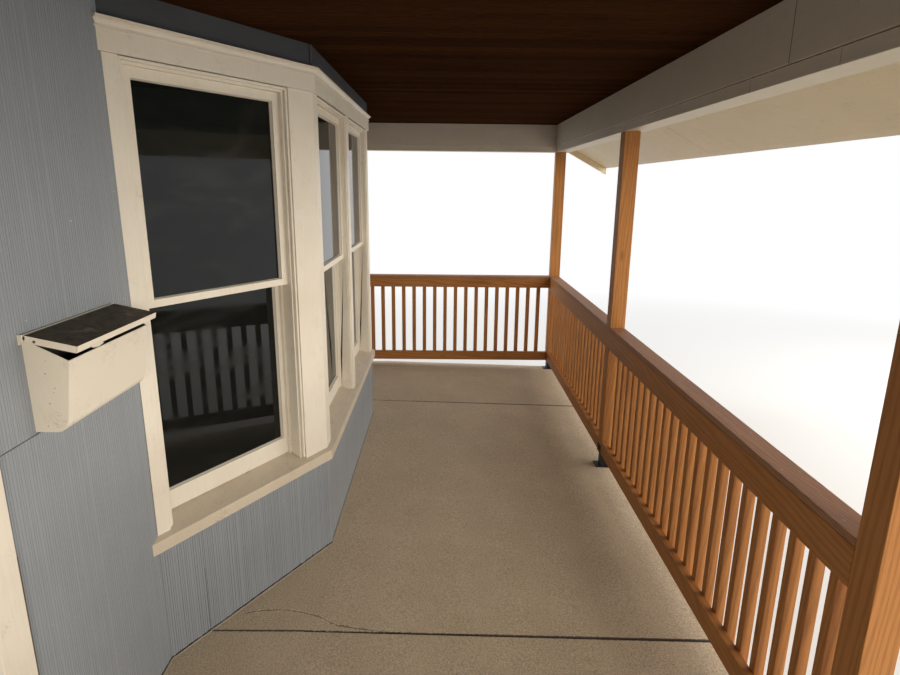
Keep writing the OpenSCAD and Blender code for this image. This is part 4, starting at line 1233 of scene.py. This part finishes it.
def corner_slats(z0, z1):
    """Four slats: one on each side of both front corners of the bay."""
    ends = ((NEAR, SIDE_LENGTH - BEAD_W), (FRONT, 0), (FRONT, FRONT_LENGTH - BEAD_W), (FAR, 0))
    slats = []
    for face, x in ends:
        slat = board((x - BEAD_SUNK, -BEAD_T, 0), (x + BEAD_W + BEAD_SUNK, BEAD_SUNK, z1 - z0), 0.0012)
        slats.append(on_face(slat, face, z0))
    return joined(slats)


crown_top, band_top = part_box("bay_head_trim")[1].z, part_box("bay_header")[1].z
hand_over(corner_slats(apron_lo.z + 0.001, apron_hi.z - 0.0005), "apron_corner_beads", "slate_upright")
hand_over(corner_slats(crown_top + 0.0005, band_top - 0.0005), "band_corner_beads", "band_level")
print("two corners, two slats each, on apron and band")

# %% The seam of the apron sheets
SEAM_X, SEAM_W, SEAM_SHARE = 0.180, 0.0014, 0.62
seam = board(
    (SEAM_X, -APRON_LIFT - 0.0006, 0.002), (SEAM_X + SEAM_W, -0.001, apron_height * SEAM_SHARE), 0.0004, 1)
hand_over(on_face(seam, NEAR, apron_lo.z), "apron_seam", "band_level")
print("seam at", SEAM_X, "m from the wall")

# %% [markdown]
# ## Caulk
# An old, uneven bead of caulk runs along the foot of the apron and the wall. It is
# a path with a round section, turned into a mesh and roughened by a Displace
# modifier with a procedural cloud texture.

# %% Caulk along the foot of the wall and the apron
CAULK_R, CAULK_LUMPS, BEAD_STEP = 0.004, 0.004, 0.012
clouds = bpy.data.textures.new("caulk_lumps", "CLOUDS")
clouds.noise_scale = 0.02


def swept_bead(points, height, radius, name, lumps):
    """A round, lumpy bead along points at one height, as a mesh."""
    curve = bpy.data.curves.new(name, "CURVE")
    curve.dimensions = "3D"
    curve.bevel_depth = radius
    curve.bevel_resolution = 2
    curve.use_fill_caps = True
    line = curve.splines.new("POLY")
    dense = []
    for a, b in zip(points, points[1:]):
        steps = max(2, int((Vector(b) - Vector(a)).length / BEAD_STEP))
        dense += [Vector(a).lerp(Vector(b), i / steps) for i in range(steps)]
    dense.append(Vector(points[-1]))
    line.points.add(len(dense) - 1)
    for point, spot in zip(line.points, dense):
        point.co = (spot.x, spot.y, height, 1)
    bead = bpy.data.objects.new(name, curve)
    bpy.context.scene.collection.objects.link(bead)
    only(bead)
    bpy.ops.object.convert(target="MESH")
    bead = bpy.context.view_layer.objects.active
    return with_modifier(bead, "DISPLACE", texture=clouds, texture_coords="LOCAL", strength=lumps, mid_level=0.55)


out = CAULK_R * 0.4
corner = out * math.tan(math.radians(BAY_ANGLE / 2))
wall_line, apron_line = low_lo.y - out, apron_lo.y - APRON_LIFT - out
caulk = swept_bead((
    (door_hi.x + 0.004, wall_line), (BAY_LEFT - corner, wall_line), (FRONT_LEFT - corner, apron_line),
    (FRONT_RIGHT + corner, apron_line), (BAY_RIGHT + corner, wall_line), (low_hi.x - 0.14, wall_line)),
    apron_lo.z + 0.001, CAULK_R, "caulk", CAULK_LUMPS)
hand_over(caulk, "caulk_at_the_floor", "old_caulk")
print("caulk has", len(caulk.data.polygons), "faces")

# %% [markdown]
# ## Beadboard
# The ceiling boards run across the porch. Each pitch has a flat, two small valleys
# and a round bead between them. One pitch is a narrow grid whose columns are
# pushed up, repeated with an Array and given a thickness.

# %% Beadboard ceiling
BEAD_COLUMNS, BACKING_T = 14, 0.010
BEAD_PROFILE = {9: 0.0042, 10: 0.0014, 11: 0.0, 12: 0.0014, 13: 0.0042}
depth_y = ceil_hi.y - ceil_lo.y
ceiling_boards = flat_sheet(
    (BEAD_PITCH, depth_y), (BEAD_PITCH / 2, depth_y / 2, 0), BEAD_COLUMNS, upright=False)
for column, lift in BEAD_PROFILE.items():
    push_columns(ceiling_boards, BEAD_PITCH / BEAD_COLUMNS, (column,), (0, 0, lift))
bead_count = math.ceil((ceil_hi.x - ceil_lo.x) / BEAD_PITCH)
repeated(ceiling_boards, bead_count, (BEAD_PITCH, 0, 0), weld=True)
put(ceiling_boards, ceil_lo)
cut_away(ceiling_boards, (ceil_hi.x, 0, 0), (1, 0, 0))
thicken(ceiling_boards, BACKING_T, 1)
hand_over(ceiling_boards, "beadboard", "ceiling_varnish", stands_for=("ceiling",), smooth=False)
print(bead_count, "beads across", round(ceil_hi.x - ceil_lo.x, 2), "m")

# %% [markdown]
# ## Glazing beads
# Each pane sits in its sash behind a small sloping bead of putty. The bead is a
# plane of the size of the pane, inset, with its middle face pushed to the glass
# and then deleted.

# %% Windows of the bay
WALL_BOARD, CORNER_SIDE, CORNER_FRONT, MULLION = 0.056, 0.148, 0.093, 0.084
FRAME_W, SASH_W, SASH_T, WIN_SET, STOP_D, PARTING, PANE_T = 0.022, 0.035, 0.035, 0.018, 0.018, 0.013, 0.005
MEETING, FRAME_GAP = 0.028, 0.0003
side_w = SIDE_LENGTH - CORNER_SIDE - WALL_BOARD
front_w = (FRONT_LENGTH - 2 * CORNER_FRONT - MULLION) / 2
UNITS = (
    ("near_side", NEAR, WALL_BOARD, side_w), ("front_near", FRONT, CORNER_FRONT, front_w),
    ("front_far", FRONT, CORNER_FRONT + front_w + MULLION, front_w), ("far_side", FAR, CORNER_SIDE, side_w))
win_lo, win_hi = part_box("window_near_side")
glass_low, glass_high = (corner.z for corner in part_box("window_glass"))
upper_depth = WIN_SET + STOP_D
lower_depth = upper_depth + SASH_T + PARTING
meet_mid = (glass_low - FRAME_GAP + win_hi.z - FRAME_W - SASH_W) / 2
print("glass from", round(glass_low, 3), "to", round(glass_high, 3), "m, meeting rail at", round(meet_mid, 3))

# %% Glazing beads
PUTTY, PUTTY_BACK, PUTTY_T = 0.004, 0.004, 0.0025


def glazing_bead(x0, x1, z0, z1, sash_face):
    """A sloping bead round an opening; sash_face is the depth of the sash's outer face."""
    bead = flat_sheet((x1 - x0, z1 - z0), ((x0 + x1) / 2, sash_face + PUTTY_BACK, (z0 + z1) / 2))
    open_up(bead)
    bpy.ops.mesh.inset(thickness=PUTTY, depth=PUTTY_BACK - (SASH_T - PANE_T) / 2)
    bpy.ops.mesh.delete(type="FACE")
    close_up()
    return thicken(bead, PUTTY_T)


for name, face, start, width in UNITS:
    x0, x1 = start + FRAME_W + SASH_W, start + width - FRAME_W - SASH_W
    beads = [
        on_face(glazing_bead(x0, x1, meet_mid + MEETING / 2, glass_high, upper_depth), face),
        on_face(glazing_bead(x0, x1, glass_low, meet_mid - MEETING / 2, lower_depth), face)]
    hand_over(joined(beads), "putty_" + name, "cream_upright", smooth=False)
print("putty round", 2 * len(UNITS), "panes")

# %% [markdown]
# ## Stop beads of the windows
# A rounded bead runs up both sides and across the head of each window, between the
# face of the bay and the frame. It softens the step and catches the light.

# %% Stop beads
STOP_W, STOP_BACK, STOP_EASE, SUNK = 0.012, 0.005, 0.004, 0.0005
foot, head, front = win_lo.z, win_hi.z, WIN_SET + SUNK
for name, face, start, width in UNITS:
    end = start + width
    beads = [
        board((start - SUNK, STOP_BACK, foot), (start + STOP_W, front, head), STOP_EASE, 3),
        board((end - STOP_W, STOP_BACK, foot), (end + SUNK, front, head), STOP_EASE, 3),
        board((start, STOP_BACK, head - STOP_W), (end, front, head), STOP_EASE, 3)]
    hand_over(joined([on_face(bead, face) for bead in beads]), "stop_beads_" + name, "cream_upright")
print("stop beads on", len(UNITS), "windows")

# %% [markdown]
# ## Small parts of the mailbox
# The hinge rod ends in two round heads, and a thin, slightly bent tab under the lip
# of the lid is there to lift it.

# %% Rod heads of the mailbox
HINGE_Y, HINGE_Z, HEAD_R, HEAD_IN = 1.0317, 1.805, 0.0036, 0.0022
box_lo, box_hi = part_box("mailbox_body")
heads = []
for x in (box_lo.x + HEAD_IN, box_hi.x - HEAD_IN):
    nothing()
    bpy.ops.mesh.primitive_uv_sphere_add(segments=16, ring_count=8, radius=HEAD_R, location=(x, HINGE_Y, HINGE_Z))
    head = bpy.context.object
    head.scale = (0.7, 1, 1)
    heads.append(bake_place(head))
hand_over(joined(heads), "hinge_rod_heads", "mailbox_enamel")
print(len(heads), "rod heads")

# %% Lift tab of the lid
TAB_X0, TAB_X1, TAB_DROP, TAB_RISE, TAB_SHEET = -0.966, -0.914, 0.0050, 0.003, 0.0010
lid_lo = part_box("mailbox_lid")[0]
tab_height = TAB_DROP + TAB_RISE
lift_tab = flat_sheet(
    (TAB_X1 - TAB_X0, tab_height),
    ((TAB_X0 + TAB_X1) / 2, lid_lo.y + 0.0014, lid_lo.z + TAB_RISE - tab_height / 2), 14, 4)
for point in lift_tab.data.vertices:
    below = max(0.0, lid_lo.z - point.co.z) / TAB_DROP
    across = (point.co.x - TAB_X0) / (TAB_X1 - TAB_X0)
    tongue = 0.85 - 0.85 * max(0.0, math.sin(math.pi * across)) ** 0.6
    point.co.y -= 0.0022 * below * below
    point.co.z += TAB_DROP * below * (tongue + 0.12 * math.sin(across * 9.0))
thicken(lift_tab, TAB_SHEET)
hand_over(lift_tab, "lid_lift_tab", "mailbox_enamel", body="lid")
print("lift tab", round((TAB_X1 - TAB_X0) * 1000), "mm wide")

# %% [markdown]
# ## Painted shadow lines
# The boards that face the beams don't quite meet the beam. A dark, uneven bead
# along their lower edge paints the shadow in that gap. Thin dark strips between the
# siding and the casing at either end of the bay, and a wider one beside the door
# casing, paint the shadow of the narrow gap there.

# %% Painted shadow under the facing boards
SHADOW_BEAD_R, SHADOW_BEAD_END, SHADOW_BEAD_LUMPS = 0.0024, 0.05, 0.003
facing_lo, facing_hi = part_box("beam_facings")
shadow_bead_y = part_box("front_beam")[1].y + 0.0002
# Painted shadow: a dark, lumpy bead along the lower edge of the facing boards, where the gap under them is in shade.
filler = swept_bead(
    ((facing_lo.x + SHADOW_BEAD_END, shadow_bead_y), (facing_hi.x - SHADOW_BEAD_END, shadow_bead_y)),
    facing_lo.z - 0.0006, SHADOW_BEAD_R, "filler", SHADOW_BEAD_LUMPS)
hand_over(filler, "shadow_under_facings", "painted_shadow_line")
print("filler line", round(facing_hi.x - facing_lo.x, 2), "m long")

# %% Painted shadow beside the casings
CASING_SHADE_W, DOOR_SHADE_W, DOOR_SHADE_TOP = 0.0022, 0.0058, 1.285
columns_lo, columns_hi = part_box("bay_columns")
# Painted shadow: dark strips beside the casings of the bay and of the door stand in for the shade in the gap there.
shade_strips = [
    board((x - CASING_SHADE_W, low_lo.y - 0.0007, win_lo.z), (x + CASING_SHADE_W * 0.2, low_lo.y + 0.001, columns_hi.z),
          0.0003, 1)
    for x in (columns_lo.x, columns_hi.x + CASING_SHADE_W * 0.8)]
shade_strips.append(board(
    (door_hi.x - 0.0002, door_lo.y + 0.0012, low_lo.z + 0.001),
    (door_hi.x + DOOR_SHADE_W, low_lo.y + 0.001, DOOR_SHADE_TOP), 0.0006, 1))
print(len(shade_strips), "dark gaps")
hand_over(joined(shade_strips), "shade_beside_casings", "painted_shadow_line")

# %% [markdown]
# ## Bolts of the post bases
# Each strap is fixed with two hexagon bolts on washers. A head is a cylinder of six
# sides whose outer edge is bevelled, and its washer is a thin disc under it.

# %% Bolts
BOLT_R, BOLT_T, WASHER_R, WASHER_T, BOLT_APART = 0.0065, 0.0045, 0.0095, 0.0012, 0.036
STRAP_T, BOLT_DOWN = 0.003, 0.024


def disc(vertices, radius, depth, y):
    """A short cylinder along Y, its middle at y."""
    nothing()
    bpy.ops.mesh.primitive_cylinder_add(
        vertices=vertices, radius=radius, depth=depth, location=(0, y, 0), rotation=(QUARTER, 0, 0))
    return bake_place(bpy.context.object)


def bolt(outward):
    """A hexagon head on its washer, its seat at the origin; outward is the sign of Y."""
    washer = disc(16, WASHER_R, WASHER_T, outward * WASHER_T / 2)
    head = disc(6, BOLT_R, BOLT_T, outward * (WASHER_T + BOLT_T / 2))
    open_up(head)
    bpy.ops.mesh.bevel(offset=0.0006, segments=2, affect="EDGES")
    close_up()
    return joined([head, washer])


pattern = {-1: bolt(-1), 1: bolt(1)}
base_lo, base_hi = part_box("post_bases")
bolts = []
for name in POSTS:
    lo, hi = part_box("post_" + name)
    sides = ((-1, base_lo.y), (1, hi.y + STRAP_T)) if name in ("middle", "near") else ((-1, base_lo.y),)
    for outward, y in sides:
        for across in (-BOLT_APART / 2, BOLT_APART / 2):
            bolts.append(twin(pattern[outward], ((lo.x + hi.x) / 2 + across, y, base_hi.z - BOLT_DOWN)))
for used in pattern.values():
    bpy.data.objects.remove(used)
print(len(bolts), "bolts")
hand_over(joined(bolts), "base_bolts", "black_powder")

# %% [markdown]
# ## Shingle tabs
# The roof is laid in courses of three-tab shingles. One tab is a thin eased plate,
# tipped so that its lower edge lies on the course below. Two Array modifiers lay it
# out across and up the slope, the second set of courses is shifted by half a tab,
# and both are cut at the rakes before they are tipped to the slope of the roof.

# %% Shingle tabs
TAB_T, TAB_GAP, TAB_LAP, TAB_SEAT, EAVE_IN = 0.0028, 0.008, 0.020, 0.0002, 0.004
ROOF_SLOPE = math.radians(ROOF_DEGREES)
roof_lo, roof_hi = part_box("roof_shingles")
slope_length = (flash_lo.y - roof_lo.y) / math.cos(ROOF_SLOPE)
courses = int(slope_length / EXPOSURE)
across = math.ceil((roof_hi.x - roof_lo.x) / TAB_WIDTH) + 1
tip = math.asin(TAB_T / EXPOSURE)
both = []
for odd in (0, 1):
    tab_plate = board((TAB_GAP / 2, 0, 0), (TAB_WIDTH - TAB_GAP / 2, EXPOSURE + TAB_LAP, TAB_T), 0.0008, 1)
    tab_plate.rotation_euler = (-tip, 0, 0)
    tab_plate.location = (roof_lo.x - (0.5 - 0.5 * odd) * TAB_WIDTH, odd * EXPOSURE, TAB_T + TAB_SEAT)
    bake_place(tab_plate)
    repeated(tab_plate, across, (TAB_WIDTH, 0, 0))
    repeated(tab_plate, (courses + 1 - odd) // 2, (0, 2 * EXPOSURE, 0))
    cut_away(tab_plate, (roof_hi.x, 0, 0), (1, 0, 0))
    cut_away(tab_plate, (roof_lo.x, 0, 0), (-1, 0, 0))
    both.append(tab_plate)
tabs = joined(both)
tabs.rotation_euler = (ROOF_SLOPE, 0, 0)
eave_top = roof_hi.z - (roof_hi.y - roof_lo.y) * math.tan(ROOF_SLOPE)
tabs.location = (0, roof_lo.y + EAVE_IN, eave_top + EAVE_IN * math.tan(ROOF_SLOPE))
bake_place(tabs)
hand_over(tabs, "shingle_tabs", "shingle_granules")
print(courses, "courses of about", across, "tabs,", len(tabs.data.polygons), "faces")

# %% [markdown]
